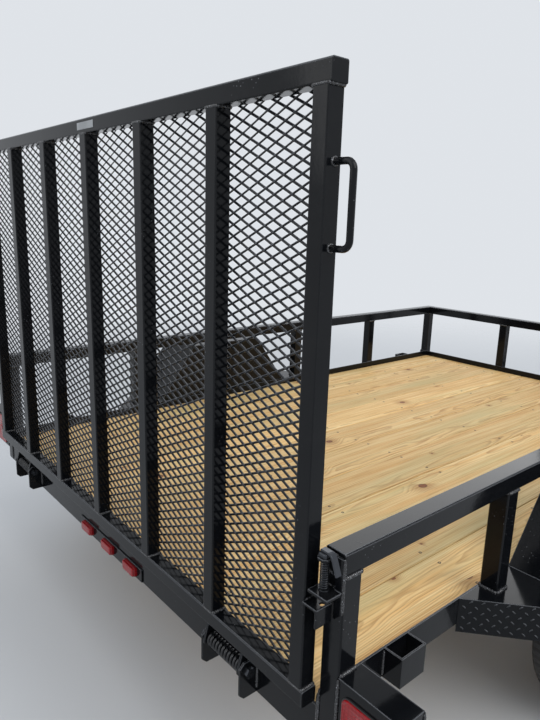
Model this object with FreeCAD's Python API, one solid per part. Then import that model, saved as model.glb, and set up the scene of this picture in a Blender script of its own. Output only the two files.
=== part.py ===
"""Single-axle utility trailer with a wood deck and a folding mesh ramp gate.

All sizes are in millimetres. The model is drawn from the ramp gate's rear face
(X = 0), the trailer's centre line (Y = 0) and the deck's top (Z = 0), with +X
towards the hitch. Each piece is moved to the part's own origin, on the ground
under the middle of the whole trailer, as it is written.
"""
import FreeCAD, Part
import math
import os

from FreeCAD import Vector as V

# Bed and frame
BED_LENGTH = 3048.0
BED_WIDTH = 1930.4
DECK_HEIGHT = 520.0
SILL_X = 41.0
PLATE = 4.76
ANGLE_TALL = 76.2
ANGLE_WIDE = 50.8
BOARD_THICK = 38.1
BOARD_COUNT = 10
BOARD_SEAM = 2.0
BOARD_END_GAP = 1.5
SILL_TALL = 101.6
SILL_WIDE = 50.8
SILL_BELOW_DECK = 4.0
CROSS_TALL = 50.8
CROSS_COUNT = 6
CROSS_FROM_SILL = 8.0
CROSS_FROM_HEADER = 30.0

# Top rails and uprights
TUBE = 50.8
TUBE_WALL = 3.05
TUBE_BEVEL = 3.0
RAIL_TOP = 368.3
END_CAP = 3.0
UPRIGHTS_FROM_AXLE = 544.6
FRONT_UPRIGHT_SHARE = 0.3833

# Stake pockets
POCKET_LENGTH = 89.0
POCKET_DEPTH = 50.8
POCKET_TALL = 76.2
POCKET_WALL = 4.76
POCKET_FROM_REAR = 250.0
POCKET_FROM_FRONT = 258.0

# Ramp gate
GATE_SIDE_GAP = 12.7
GATE_HEIGHT = 1219.2
GATE_BOTTOM = 9.0
GATE_TUBE = 38.1
GATE_WALL = 2.1
GATE_BEVEL = 2.3
GATE_OVERHANG = 6.0
GATE_BARS = 5
MESH_THICK = 3.0
MESH_ACROSS = 6
MESH_UP = 9
MESH_STRAND = 9.0
HANDLE_BAR = 12.7
HANDLE_BELOW_TOP = 151.2
HANDLE_LONG = 155.0
HANDLE_REACH = 50.0
HANDLE_X = 22.0
HANDLE_BEND = 12.0
LABEL_LONG = 103.0
LABEL_TALL = 19.0
LABEL_THICK = 0.8
LABEL_Y = -23.0

# Gate hinges and their lift springs
HINGE_X = 12.0
HINGE_Z = -33.0
HINGE_PIN_R = 7.9
RUN_CLEARANCE = 0.06
EAR_R = 21.0
EAR_THICK = 6.35
EAR_CORNER = 12.0
EAR_INNER_FROM_SIDE = 349.2
EAR_OUTER_FROM_SIDE = 204.2
GATE_EAR_GAP = 2.0
GATE_EAR_TAPER = 3.0
PIN_STICKS_OUT = 14.0
PIN_HEAD_R = 13.0
PIN_HEAD = 9.0
COIL_R = 18.5
COIL_WIRE = 8.0
COIL_SEAT = 0.3

# Gate latches
LATCH_X = 20.0
LATCH_FROM_SIDE = 17.8
LATCH_PIN_R = 6.35
LATCH_PIN_TIP = 263.0
LATCH_COIL_R = 9.0
LUG_THICK = 6.35
LOW_LUG_Z = 281.65
LOW_LUG_X = -3.0
LOW_LUG_IN = 20.0
LOW_LUG_OUT = 31.0
TOP_LUG_Z = 352.0
TOP_LUG_R = 14.0
TOP_LUG_CORNER = 7.0
LATCH_BACK_THICK = 4.8
LATCH_BACK_BOTTOM = 240.0
LATCH_HEAD_R = 11.0
LATCH_HEAD = 9.65
LATCH_GRIP_WIDE = 14.0
LATCH_GRIP_THICK = 5.0
LATCH_GRIP_OUT = 38.0
LATCH_GRIP_DROP = 36.0
TAB_TOP = 256.0
TAB_DROP = 40.0
TAB_THICK = 4.76
TAB_HALF = 21.0
TAB_X = 15.0
TAB_OUT = 9.0
TAB_HOLE_PLAY = 0.8

# Wheels and axle
AXLE_X = 1216.0
TYRE_R = 344.0
TYRE_WIDE = 205.0
TREAD_HALF = 64.0
SHOULDER_R = 322.0
TYRE_RECESS_PLAY = 6.0
RIM_R = 190.5
RIM_WIDE = 127.0
RIM_FLANGE = 15.0
RIM_THICK = 6.0
RIM_SHEET = 4.5
RIM_BORE_R = 33.0
DISC_FLAT_R = 86.0
DISC_RISE = 18.0
WINDOW_COUNT = 8
WINDOW_CORNERS = ((108.0, 9.0), (160.0, 14.0), (160.0, -14.0), (108.0, -9.0))
BEAD_SEAT = 0.3
WHEEL_FROM_SIDE = 147.8
AXLE_R = 30.2
AXLE_END_BACK = 78.0
SPINDLE_R = 17.5
SPINDLE_OUT = 26.0
STUD_CIRCLE_R = 57.15
STUD_COUNT = 5
NUT_R = 11.0
NUT_TALL = 16.0
HUB_R = 38.0
HUB_DEEP = 60.0
HUB_FLANGE_R = 69.0
HUB_FLANGE = 12.0
CAP_R = 31.0
CAP_TALL = 46.0

# Leaf springs
SPRING_FROM_SIDE = 27.2
SPRING_WIDE = 44.45
LEAF = 6.35
LEAF_COUNT = 4
LEAF_STEP = 0.2
SPRING_HALF = 320.0
SPRING_RISE = 30.0
SPRING_EYE_R = 14.3
SPRING_BOLT_R = 7.1
BOLT_HEAD_R = 12.0
BOLT_HEAD = 8.0
SEAT_HALF = 28.0
SEAT_SINK = 12.0
HANGER_PLATE = 6.35
HANGER_SIDE_GAP = 1.0
SLIPPER_IN = 30.0
U_BOLT = 11.0
TIE_PLATE = 8.2
TIE_PLATE_GAP = 0.8
TIE_PLATE_EDGE = 8.0
U_BOLT_STICKS_OUT = 14.0

# Fenders
FENDER_WIDE = 266.7
FENDER_SHEET = 3.0
FENDER_TOP = 305.0
FENDER_TOP_HALF = 216.0
FENDER_SLOPE_HALF = 416.0
STEP_HALF = 666.0
STEP_CORNER_HALF = 431.0
SKIRT_BOTTOM = -65.0
ARCH_R = 400.0

# Lamps
BOX_DEEP = 67.0
BOX_WIDE = 156.0
BOX_TOP = 100.0
BOX_BOTTOM = -60.0
BOX_SHEET = 3.0
LENS_SIDE = 122.0
LENS_TOP = 72.0
LENS_INSET_Y = 17.0
LENS_PROUD = 8.0
LENS_CORNER = 16.0
LENS_LAP = 5.0
LAMP_BODY_DEEP = 38.0
ID_PITCH = 154.0
ID_LONG = 76.0
ID_TALL = 30.0
ID_DEEP = 15.0
ID_Z = -85.0
ID_BAR_THICK = 4.0
ID_BAR_LONG = 440.0
ID_BAR_TALL = 40.0
MARKER_LONG = 70.0
MARKER_TALL = 28.0
MARKER_DEEP = 16.0
MARKER_FROM_FRONT = 88.0
SMALL_LAMP_BEVEL = 5.0

# Tongue, coupler and jack
CHANNEL_TALL = 76.2
CHANNEL_WIDE = 38.0
CHANNEL_WALL = 4.5
TONGUE_REACH = 1219.0
TONGUE_HALF_ANGLE = 25.0
TONGUE_NOSE_BACK = 262.0
TONGUE_NOSE_HALF = 34.0
TONGUE_PAST_CROSS = 12.0
BALL_R = 25.4
SOCKET_CLEARANCE = 0.5
SOCKET_DEEP = 34.0
COUPLER_WALL = 7.0
COUPLER_LAP = 140.0
COUPLER_PLATE = 5.0
COUPLER_NECK = 34.0
LEVER_BACK = 66.0
LEVER_LONG = 120.0
LEVER_WIDE = 18.0
LEVER_BASE = 20.0
JACK_BACK = 480.0
JACK_TUBE_R = 28.6
JACK_LEG_R = 25.0
JACK_CLEARANCE = 0.4
JACK_TOP = 170.0
JACK_CAP = 6.0
JACK_CAP_LIP = 4.0
JACK_TUBE_BOTTOM = -235.0
JACK_LEG_TOP = -70.0
JACK_PLATE_HALF = 65.0
JACK_PLATE = 8.0
JACK_FOOT_HALF = 75.0
JACK_FOOT_THICK = 6.35
CRANK_REACH = 120.0
CRANK_R = 6.35
CRANK_ABOVE = 14.0
GRIP_R = 12.7
GRIP_LONG = 60.0

# Worked out from the sizes above
FRAME_Y = BED_WIDTH / 2
OUTER_Y = FRAME_Y + TUBE
FRAME_INNER_Y = FRAME_Y - ANGLE_WIDE
LIP = ANGLE_TALL - PLATE - BOARD_THICK
FRAME_BOTTOM = LIP - ANGLE_TALL
SILL_BOTTOM = -SILL_BELOW_DECK - SILL_TALL
CROSS_BOTTOM = -BOARD_THICK - CROSS_TALL
CROSS_FIRST_X = SILL_X + SILL_WIDE + CROSS_FROM_SILL
BOARDS_Y = FRAME_Y - PLATE
BOARD_WIDTH = (2 * BOARDS_Y - (BOARD_COUNT + 1) * BOARD_SEAM) / BOARD_COUNT
BOARD_X0 = SILL_X + PLATE + BOARD_END_GAP
BOARD_X1 = BOARD_X0 + BED_LENGTH
HEADER_FACE_X = BOARD_X1 + BOARD_END_GAP + PLATE
RAIL_FRONT_X = HEADER_FACE_X + TUBE
CROSS_LAST_X = HEADER_FACE_X - ANGLE_WIDE - CROSS_FROM_HEADER - CROSS_TALL
CROSS_PITCH = (CROSS_LAST_X - CROSS_FIRST_X) / (CROSS_COUNT - 1)
UPRIGHT_AFT_X = AXLE_X - UPRIGHTS_FROM_AXLE
UPRIGHT_FORE_X = AXLE_X + UPRIGHTS_FROM_AXLE
UPRIGHT_MID_X = (UPRIGHT_FORE_X + HEADER_FACE_X + TUBE / 2) / 2
FRONT_UPRIGHT_Y = FRAME_Y * FRONT_UPRIGHT_SHARE
GATE_HALF = FRAME_Y - GATE_SIDE_GAP
GATE_TOP = GATE_BOTTOM + GATE_HEIGHT
GATE_POST_Y = GATE_HALF - GATE_TUBE / 2
GATE_PITCH = 2 * GATE_POST_Y / (GATE_BARS + 1)
EAR_INNER_Y = FRAME_Y - EAR_INNER_FROM_SIDE
EAR_OUTER_Y = FRAME_Y - EAR_OUTER_FROM_SIDE
LATCH_Y = FRAME_Y + LATCH_FROM_SIDE
LOW_LUG_TOP = LOW_LUG_Z + LUG_THICK
TOP_LUG_TOP = TOP_LUG_Z + LUG_THICK
FENDER_Y = FRAME_Y + FENDER_WIDE
WHEEL_Y = FRAME_Y + WHEEL_FROM_SIDE
AXLE_Z = TYRE_R - DECK_HEIGHT
PACK_BOTTOM = AXLE_Z + AXLE_R
PACK_TOP = PACK_BOTTOM + LEAF * LEAF_COUNT
EYE_Z = PACK_TOP + SPRING_RISE
SPRING_Y = FRAME_Y - SPRING_FROM_SIDE
BALL_X = HEADER_FACE_X + TONGUE_REACH
NOSE_X = BALL_X - TONGUE_NOSE_BACK
JACK_X = BALL_X - JACK_BACK
CHANNEL_TOP = CROSS_BOTTOM
CHANNEL_BOTTOM = CHANNEL_TOP - CHANNEL_TALL
COUPLER_NOSE_R = BALL_R + SOCKET_CLEARANCE + COUPLER_WALL
REAR_MOST_X = HINGE_X - EAR_R
FRONT_MOST_X = BALL_X + COUPLER_NOSE_R
MIDDLE_X = (REAR_MOST_X + FRONT_MOST_X) / 2
TO_ORIGIN = V(-MIDDLE_X, 0, DECK_HEIGHT)


def box(x0, x1, y0, y1, z0, z1):
    """Block between two corners."""
    return Part.makeBox(x1 - x0, y1 - y0, z1 - z0, V(x0, y0, z0))


def polygon_prism(points, along):
    """Straight prism of a closed outline of points, drawn along a vector."""
    wire = Part.makePolygon(list(points) + [points[0]])
    return Part.Face(wire).extrude(along)


def profile_along_x(yz, x0, x1):
    return polygon_prism([V(x0, y, z) for y, z in yz], V(x1 - x0, 0, 0))


def profile_along_y(xz, y0, y1):
    return polygon_prism([V(x, y0, z) for x, z in xz], V(0, y1 - y0, 0))


def rod(start, end, radius):
    """Round bar between two points."""
    line = end.sub(start)
    return Part.makeCylinder(radius, line.Length, start, line)


def fuse(shapes):
    """One clean solid from pieces that touch or overlap."""
    body = shapes[0].multiFuse(shapes[1:])
    return body.removeSplitter()


def mirrored(shape):
    """The same piece on the other side of the trailer."""
    return shape.mirror(V(0, 0, 0), V(0, 1, 0))


def both_sides(shape):
    return [shape, mirrored(shape)]


def rounded_outline(origin, side_u, side_v, u, v, corner):
    """Closed rectangle with round corners, centred on origin, in two directions."""
    hu = side_u / 2
    hv = side_v / 2
    k = corner * (1 - math.sqrt(0.5))

    def at(a, b):
        return origin + u * a + v * b

    edges = []
    for su, sv in ((1, 1), (-1, 1), (-1, -1), (1, -1)):
        first = at(su * hu, sv * (hv - corner))
        middle = at(su * (hu - k), sv * (hv - k))
        last = at(su * (hu - corner), sv * hv)
        if su * sv < 0:
            first, last = last, first
        if edges:
            edges.append(Part.LineSegment(edges[-1].Vertexes[-1].Point, first).toShape())
        edges.append(Part.Arc(first, middle, last).toShape())
    edges.append(Part.LineSegment(edges[-1].Vertexes[-1].Point, edges[0].Vertexes[0].Point).toShape())
    return Part.Wire(edges)


def bevelled(half_u, half_v, bevel):
    """Corners of a centred rectangle whose corners are cut off."""
    u = half_u - bevel
    v = half_v - bevel
    return [(half_u, v), (u, half_v), (-u, half_v), (-half_u, v),
            (-half_u, -v), (-u, -half_v), (u, -half_v), (half_u, -v)]


def bevelled_bar(start, line, u, v, size_u, size_v, bevel):
    """Solid bar along a vector, centred on its start, with bevelled long edges."""
    corners = bevelled(size_u / 2, size_v / 2, bevel)
    return polygon_prism([start + u * a + v * b for a, b in corners], line)


def square_tube(start, end, side, wall, bevel):
    """Straight square tube along one of the three main directions."""
    line = end.sub(start)
    if abs(line.z) > 0:
        u, v = V(1, 0, 0), V(0, 1, 0)
    elif abs(line.x) > 0:
        u, v = V(0, 1, 0), V(0, 0, 1)
    else:
        u, v = V(0, 0, 1), V(1, 0, 0)
    skin = bevelled_bar(start, line, u, v, side, side, bevel)
    half = side / 2 - wall
    bore = polygon_prism([start + u * a + v * b for a, b in
                          ((half, half), (-half, half), (-half, -half), (half, -half))], line)
    return skin.cut(bore)


def rail_tube(start, end):
    return square_tube(start, end, TUBE, TUBE_WALL, TUBE_BEVEL)


def gate_tube(start, end):
    return square_tube(start, end, GATE_TUBE, GATE_WALL, GATE_BEVEL)


def hexagon_along_y(x, z, y0, y1, radius):
    """Bolt head or nut with its axis along Y."""
    corners = [(x + radius * math.cos(math.radians(60 * k)), z + radius * math.sin(math.radians(60 * k)))
               for k in range(6)]
    return profile_along_y(corners, y0, y1)


def angle_outline(tall, wide, plate):
    """Corner of an angle iron: upright leg at 0, flat leg at the bottom, inwards."""
    return [(0, 0), (wide, 0), (wide, plate), (plate, plate), (plate, tall), (0, tall)]


# Frame

def side_rails():
    """Frame angles: the lips stand above the deck and the feet carry the boards."""
    outline = [(FRAME_Y - a, FRAME_BOTTOM + b) for a, b in angle_outline(ANGLE_TALL, ANGLE_WIDE, PLATE)]
    return both_sides(profile_along_x(outline, SILL_X + PLATE, HEADER_FACE_X - PLATE))


def rear_sill():
    outline = [(SILL_X + a, SILL_BOTTOM + b) for a, b in angle_outline(SILL_TALL, SILL_WIDE, PLATE)]
    return profile_along_y(outline, -FRAME_Y, FRAME_Y)


def front_header():
    """Angle across the front: its flat leg fits between those of the side angles."""
    face = box(HEADER_FACE_X - PLATE, HEADER_FACE_X, -OUTER_Y, OUTER_Y, FRAME_BOTTOM, LIP)
    flat = box(HEADER_FACE_X - ANGLE_WIDE, HEADER_FACE_X, -FRAME_INNER_Y, FRAME_INNER_Y,
               FRAME_BOTTOM, FRAME_BOTTOM + PLATE)
    return fuse([face, flat])


def crossmembers():
    """Angles under the boards, their flat legs level with the frame's foot."""
    members = []
    for n in range(CROSS_COUNT):
        x = CROSS_FIRST_X + n * CROSS_PITCH
        flat = box(x, x + CROSS_TALL, -FRAME_INNER_Y, FRAME_INNER_Y, FRAME_BOTTOM, -BOARD_THICK)
        stem = box(x, x + PLATE, -FRAME_Y, FRAME_Y, CROSS_BOTTOM, FRAME_BOTTOM)
        members.append(fuse([flat, stem]))
    return members


def deck_boards():
    boards = []
    for n in range(BOARD_COUNT):
        y = -BOARDS_Y + BOARD_SEAM + n * (BOARD_WIDTH + BOARD_SEAM)
        boards.append(box(BOARD_X0, BOARD_X1, y, y + BOARD_WIDTH, -BOARD_THICK, 0))
    return boards


# Rails and uprights

def side_top_rails():
    """Side rails with a plate welded over each end."""
    y = FRAME_Y + TUBE / 2
    z = RAIL_TOP - TUBE / 2
    aft = SILL_X + END_CAP
    fore = RAIL_FRONT_X - END_CAP
    rail = rail_tube(V(aft, y, z), V(fore, y, z))
    caps = [bevelled_bar(V(x, y, z), V(END_CAP, 0, 0), V(0, 1, 0), V(0, 0, 1), TUBE, TUBE, TUBE_BEVEL)
            for x in (SILL_X, fore)]
    solids = []
    for piece in [rail] + caps:
        solids.extend(both_sides(piece))
    return solids


def front_top_rail():
    x = RAIL_FRONT_X - TUBE / 2
    z = RAIL_TOP - TUBE / 2
    return rail_tube(V(x, -FRAME_Y, z), V(x, FRAME_Y, z))


def uprights():
    """Uprights under the top rails, as (middle in X, middle in Y, foot height)."""
    side_y = FRAME_Y + TUBE / 2
    front_x = HEADER_FACE_X + TUBE / 2
    table = (
        (SILL_X + TUBE / 2, side_y, SILL_BOTTOM),
        (UPRIGHT_AFT_X, side_y, LIP),
        (UPRIGHT_FORE_X, side_y, LIP),
        (UPRIGHT_MID_X, side_y, FRAME_BOTTOM),
        (front_x, side_y, FRAME_BOTTOM),
        (front_x, FRONT_UPRIGHT_Y, FRAME_BOTTOM),
    )
    tubes = []
    for x, y, foot in table:
        tubes.extend(both_sides(rail_tube(V(x, y, foot), V(x, y, RAIL_TOP - TUBE))))
    return tubes


def stake_pockets():
    """Open steel loops on the frame's outer face, level with its lip."""
    pockets = []
    for x in (POCKET_FROM_REAR, BED_LENGTH - POCKET_FROM_FRONT):
        shell = box(x, x + POCKET_LENGTH, FRAME_Y, FRAME_Y + POCKET_DEPTH, LIP - POCKET_TALL, LIP)
        hole = box(x + POCKET_WALL, x + POCKET_LENGTH - POCKET_WALL, FRAME_Y,
                   FRAME_Y + POCKET_DEPTH - POCKET_WALL, LIP - POCKET_TALL, LIP)
        pockets.extend(both_sides(shell.cut(hole)))
    return pockets


# Ramp gate

def gate_rails():
    """Top and bottom rails with closed ends: the posts stand between them."""
    x = GATE_TUBE / 2
    half = GATE_HALF + GATE_OVERHANG
    solids = []
    for z in (GATE_TOP - GATE_TUBE / 2, GATE_BOTTOM + GATE_TUBE / 2):
        cap = bevelled_bar(V(x, half - END_CAP, z), V(0, END_CAP, 0), V(0, 0, 1), V(1, 0, 0),
                           GATE_TUBE, GATE_TUBE, GATE_BEVEL)
        solids.append(gate_tube(V(x, END_CAP - half, z), V(x, half - END_CAP, z)))
        solids.extend(both_sides(cap))
    return solids


def gate_post(y):
    """Upright tube of the gate, between its two rails."""
    x = GATE_TUBE / 2
    return gate_tube(V(x, y, GATE_BOTTOM + GATE_TUBE), V(x, y, GATE_TOP - GATE_TUBE))


def gate_posts():
    return both_sides(gate_post(GATE_POST_Y))


def gate_bars():
    return [gate_post(n * GATE_PITCH - GATE_POST_Y) for n in range(1, GATE_BARS + 1)]


def clipped(points, axis, limit, keep_below):
    """The part of a flat outline on one side of a line."""
    kept = []
    for n, point in enumerate(points):
        before = points[n - 1]
        inside = (point[axis] <= limit) == keep_below or point[axis] == limit
        was_inside = (before[axis] <= limit) == keep_below or before[axis] == limit
        if inside != was_inside:
            share = (limit - before[axis]) / (point[axis] - before[axis])
            kept.append(tuple(b + share * (p - b) for p, b in zip(point, before)))
        if inside:
            kept.append(point)
    return kept


def gate_mesh():
    """Flat diamond lattice on the deck side of the bars, with a plain edge all round."""
    z0 = GATE_BOTTOM + GATE_TUBE / 2
    z1 = GATE_TOP - GATE_TUBE / 2
    y1 = GATE_POST_Y
    step_y = 2 * y1 / MESH_ACROSS
    step_z = (z1 - z0) / MESH_UP
    half_y = step_y / 2 - MESH_STRAND
    half_z = half_y * step_z / step_y
    edge = MESH_STRAND
    bounds = ((0, edge - y1, False), (0, y1 - edge, True), (1, z0 + edge, False), (1, z1 - edge, True))
    holes = []
    for row in range(2 * MESH_UP + 1):
        z = z0 + row * step_z / 2
        shift = 0.5 if row % 2 else 0.0
        for column in range(MESH_ACROSS + 1):
            y = (column + shift) * step_y - y1
            diamond = [(y + half_y, z), (y, z + half_z), (y - half_y, z), (y, z - half_z)]
            for axis, limit, keep_below in bounds:
                diamond = clipped(diamond, axis, limit, keep_below)
                if not diamond:
                    break
            if len(diamond) > 2:
                holes.append(diamond)

    def outline(points):
        return Part.makePolygon([V(GATE_TUBE, a, b) for a, b in points + [points[0]]])

    sheet = Part.Face([outline([(-y1, z0), (y1, z0), (y1, z1), (-y1, z1)])] + [outline(h) for h in holes])
    sheet.validate()
    return sheet.extrude(V(MESH_THICK, 0, 0))


def gate_handles():
    """Bent round bars on the outer faces of the two gate posts."""
    out = GATE_HALF + HANDLE_REACH - HANDLE_BAR / 2
    top = GATE_TOP - HANDLE_BELOW_TOP - HANDLE_BAR / 2
    low = top - HANDLE_LONG + HANDLE_BAR
    bend = HANDLE_BEND
    corners = ((GATE_HALF, low), (out - bend, low), (out, low + bend), (out, top - bend), (out - bend, top),
               (GATE_HALF, top))
    path = Part.makePolygon([V(HANDLE_X, y, z) for y, z in corners])
    section = Part.Wire([Part.makeCircle(HANDLE_BAR / 2, V(HANDLE_X, GATE_HALF, low), V(0, 1, 0))])
    return both_sides(path.makePipeShell([section], True, False, 1))


def gate_label():
    z = GATE_TOP - GATE_TUBE / 2
    return box(-LABEL_THICK, 0, LABEL_Y - LABEL_LONG / 2, LABEL_Y + LABEL_LONG / 2,
               z - LABEL_TALL / 2, z + LABEL_TALL / 2)


# Gate hinges

def ear_hole(y0, y1, radius):
    return rod(V(HINGE_X, y0, HINGE_Z), V(HINGE_X, y1, HINGE_Z), radius)


def ear_plate(corners, y):
    """Plate of one outline, bored for the hinge pin."""
    plate = profile_along_y(corners, y, y + EAR_THICK)
    return plate.cut(ear_hole(y, y + EAR_THICK, HINGE_PIN_R + RUN_CLEARANCE))


def frame_ears():
    """Plates on the rear sill that carry the hinge pins, left pair then right pair."""
    back = HINGE_X - EAR_R
    top = HINGE_Z + EAR_R
    corners = [(back, top - EAR_CORNER), (back + EAR_CORNER, top), (SILL_X, top), (SILL_X, SILL_BOTTOM),
               (back + EAR_CORNER, SILL_BOTTOM), (back, SILL_BOTTOM + EAR_CORNER)]
    ears = []
    for y in (EAR_INNER_Y - EAR_THICK, EAR_OUTER_Y):
        ears.extend(both_sides(ear_plate(corners, y)))
    return ears


def hinge_pins():
    """Pins through each pair of ears, with a head outside and a nut inside."""
    nut_y = EAR_INNER_Y - EAR_THICK
    head_y = EAR_OUTER_Y + EAR_THICK
    shank = ear_hole(nut_y - PIN_STICKS_OUT, head_y, HINGE_PIN_R)
    head = hexagon_along_y(HINGE_X, HINGE_Z, head_y, head_y + PIN_STICKS_OUT, PIN_HEAD_R)
    nut = hexagon_along_y(HINGE_X, HINGE_Z, nut_y - PIN_HEAD, nut_y, PIN_HEAD_R)
    return both_sides(fuse([shank, head, nut]))


def gate_ears():
    """Ears under the gate's bottom rail, just inside the frame's ears."""
    back = HINGE_X - EAR_R
    front = HINGE_X + EAR_R
    low = HINGE_Z - EAR_R
    corners = [(back, low + EAR_CORNER), (back + EAR_CORNER, low), (front - EAR_CORNER, low),
               (front, low + EAR_CORNER), (front, HINGE_Z), (front - GATE_EAR_TAPER, GATE_BOTTOM),
               (back + EAR_CORNER, GATE_BOTTOM), (back, HINGE_Z)]
    ears = []
    for y in (EAR_INNER_Y + GATE_EAR_GAP, EAR_OUTER_Y - GATE_EAR_GAP - EAR_THICK):
        ears.extend(both_sides(ear_plate(corners, y)))
    return ears


def hinge_springs():
    """Lift springs round the pins, as sleeves of the coils' inner and outer size."""
    y0 = EAR_INNER_Y + GATE_EAR_GAP + EAR_THICK + COIL_SEAT
    y1 = EAR_OUTER_Y - GATE_EAR_GAP - EAR_THICK - COIL_SEAT
    return both_sides(ear_hole(y0, y1, COIL_R).cut(ear_hole(y0, y1, COIL_R - COIL_WIRE)))


# Gate latches

def latch_brackets():
    """A broad lower lug, an upper lug with cut corners and a back strip on each rear upright."""
    y = LATCH_Y
    out = y + LOW_LUG_OUT
    r = TOP_LUG_R
    nose = LATCH_X - r
    lower = box(LOW_LUG_X, SILL_X, y - LOW_LUG_IN, out, LOW_LUG_Z, LOW_LUG_TOP)
    plan = ((SILL_X, y - r), (nose + TOP_LUG_CORNER, y - r), (nose, y - r + TOP_LUG_CORNER),
            (nose, y + r - TOP_LUG_CORNER), (nose + TOP_LUG_CORNER, y + r), (SILL_X, y + r))
    upper = polygon_prism([V(a, b, TOP_LUG_Z) for a, b in plan], V(0, 0, LUG_THICK))
    back = box(SILL_X - LATCH_BACK_THICK, SILL_X, y + r, out, LATCH_BACK_BOTTOM, TOP_LUG_TOP)
    hole = rod(V(LATCH_X, y, LOW_LUG_Z), V(LATCH_X, y, TOP_LUG_TOP), LATCH_PIN_R + RUN_CLEARANCE)
    return both_sides(fuse([lower, upper, back]).cut(hole))


def latch_pins():
    """Pins held up clear of their tabs, each with a coil between its lugs, a head and a bent grip."""
    def stretch(z0, z1, radius):
        return rod(V(LATCH_X, LATCH_Y, z0), V(LATCH_X, LATCH_Y, z1), radius)

    head_top = TOP_LUG_TOP + LATCH_HEAD
    shank = stretch(LATCH_PIN_TIP, head_top, LATCH_PIN_R)
    coil = stretch(LOW_LUG_TOP, TOP_LUG_Z, LATCH_COIL_R)
    head = bevelled_bar(V(LATCH_X, LATCH_Y, TOP_LUG_TOP), V(0, 0, LATCH_HEAD), V(1, 0, 0), V(0, 1, 0),
                        2 * LATCH_HEAD_R, 2 * LATCH_HEAD_R, LATCH_HEAD_R / 2)
    t = LATCH_GRIP_THICK
    half = LATCH_GRIP_WIDE / 2
    bend = LATCH_Y + LATCH_GRIP_OUT * 0.45
    out = LATCH_Y + LATCH_GRIP_OUT
    low = head_top - LATCH_GRIP_DROP
    strip = ((LATCH_Y - half, head_top), (bend - t / 2, head_top), (out - t, low), (out, low + t / 2),
             (bend, head_top + t), (LATCH_Y - half, head_top + t))
    grip = profile_along_x(strip, LATCH_X - half, LATCH_X + half)
    return both_sides(fuse([shank, coil, head, grip]))


def latch_tabs():
    """Flat tabs on the gate posts, each with a hole for its pin and a turned-down end."""
    y1 = LATCH_Y + TAB_OUT
    x0 = TAB_X - TAB_HALF
    x1 = TAB_X + TAB_HALF
    flat = box(x0, x1, GATE_HALF, y1, TAB_TOP - TAB_THICK, TAB_TOP)
    turned = box(x0, x1, y1 - TAB_THICK, y1, TAB_TOP - TAB_DROP, TAB_TOP)
    hole = rod(V(LATCH_X, LATCH_Y, TAB_TOP - TAB_THICK), V(LATCH_X, LATCH_Y, TAB_TOP),
               LATCH_PIN_R + TAB_HOLE_PLAY)
    return both_sides(flat.cut(hole).fuse(turned).removeSplitter())


# Axle, springs and wheels

def axle_beam():
    """Tube with a spindle at each end and a seat under each spring."""
    tube_half = WHEEL_Y - AXLE_END_BACK
    pieces = [rod(V(AXLE_X, -tube_half, AXLE_Z), V(AXLE_X, tube_half, AXLE_Z), AXLE_R)]
    for side in (-1, 1):
        tip = V(AXLE_X, side * (WHEEL_Y + SPINDLE_OUT), AXLE_Z)
        pieces.append(rod(V(AXLE_X, side * tube_half, AXLE_Z), tip, SPINDLE_R))
        y = side * SPRING_Y
        pieces.append(box(AXLE_X - SEAT_HALF, AXLE_X + SEAT_HALF, y - SPRING_WIDE / 2, y + SPRING_WIDE / 2,
                          PACK_BOTTOM - SEAT_SINK, PACK_BOTTOM))
    return fuse(pieces)


def leaf_arc(top_z, thick, reach, y0, y1):
    """One leaf: a strip bent to an arc, lowest over the axle."""
    radius = (SPRING_HALF ** 2 + SPRING_RISE ** 2) / (2 * SPRING_RISE)
    centre = PACK_TOP + radius

    def strip_point(x, r):
        return V(AXLE_X + x, y0, centre - math.sqrt(r * r - x * x))

    upper = centre - top_z
    lower = upper + thick
    edges = [
        Part.Arc(strip_point(-reach, upper), strip_point(0, upper), strip_point(reach, upper)).toShape(),
        Part.LineSegment(strip_point(reach, upper), strip_point(reach, lower)).toShape(),
        Part.Arc(strip_point(reach, lower), strip_point(0, lower), strip_point(-reach, lower)).toShape(),
        Part.LineSegment(strip_point(-reach, lower), strip_point(-reach, upper)).toShape(),
    ]
    return Part.Face(Part.Wire(edges)).extrude(V(0, y1 - y0, 0))


def leaf_springs():
    """Stacked leaves with an eye in front and a plain slipper end behind."""
    y0 = SPRING_Y - SPRING_WIDE / 2
    y1 = SPRING_Y + SPRING_WIDE / 2
    leaves = []
    for n in range(LEAF_COUNT):
        reach = SPRING_HALF * (1 - LEAF_STEP * n)
        leaves.append(leaf_arc(PACK_TOP - n * LEAF, LEAF, reach, y0, y1))
    eye_x = AXLE_X + SPRING_HALF
    eye = rod(V(eye_x, y0, EYE_Z), V(eye_x, y1, EYE_Z), SPRING_EYE_R)
    hole = rod(V(eye_x, y0, EYE_Z), V(eye_x, y1, EYE_Z), SPRING_BOLT_R + RUN_CLEARANCE)
    return both_sides(fuse(leaves + [eye]).cut(hole))


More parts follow.
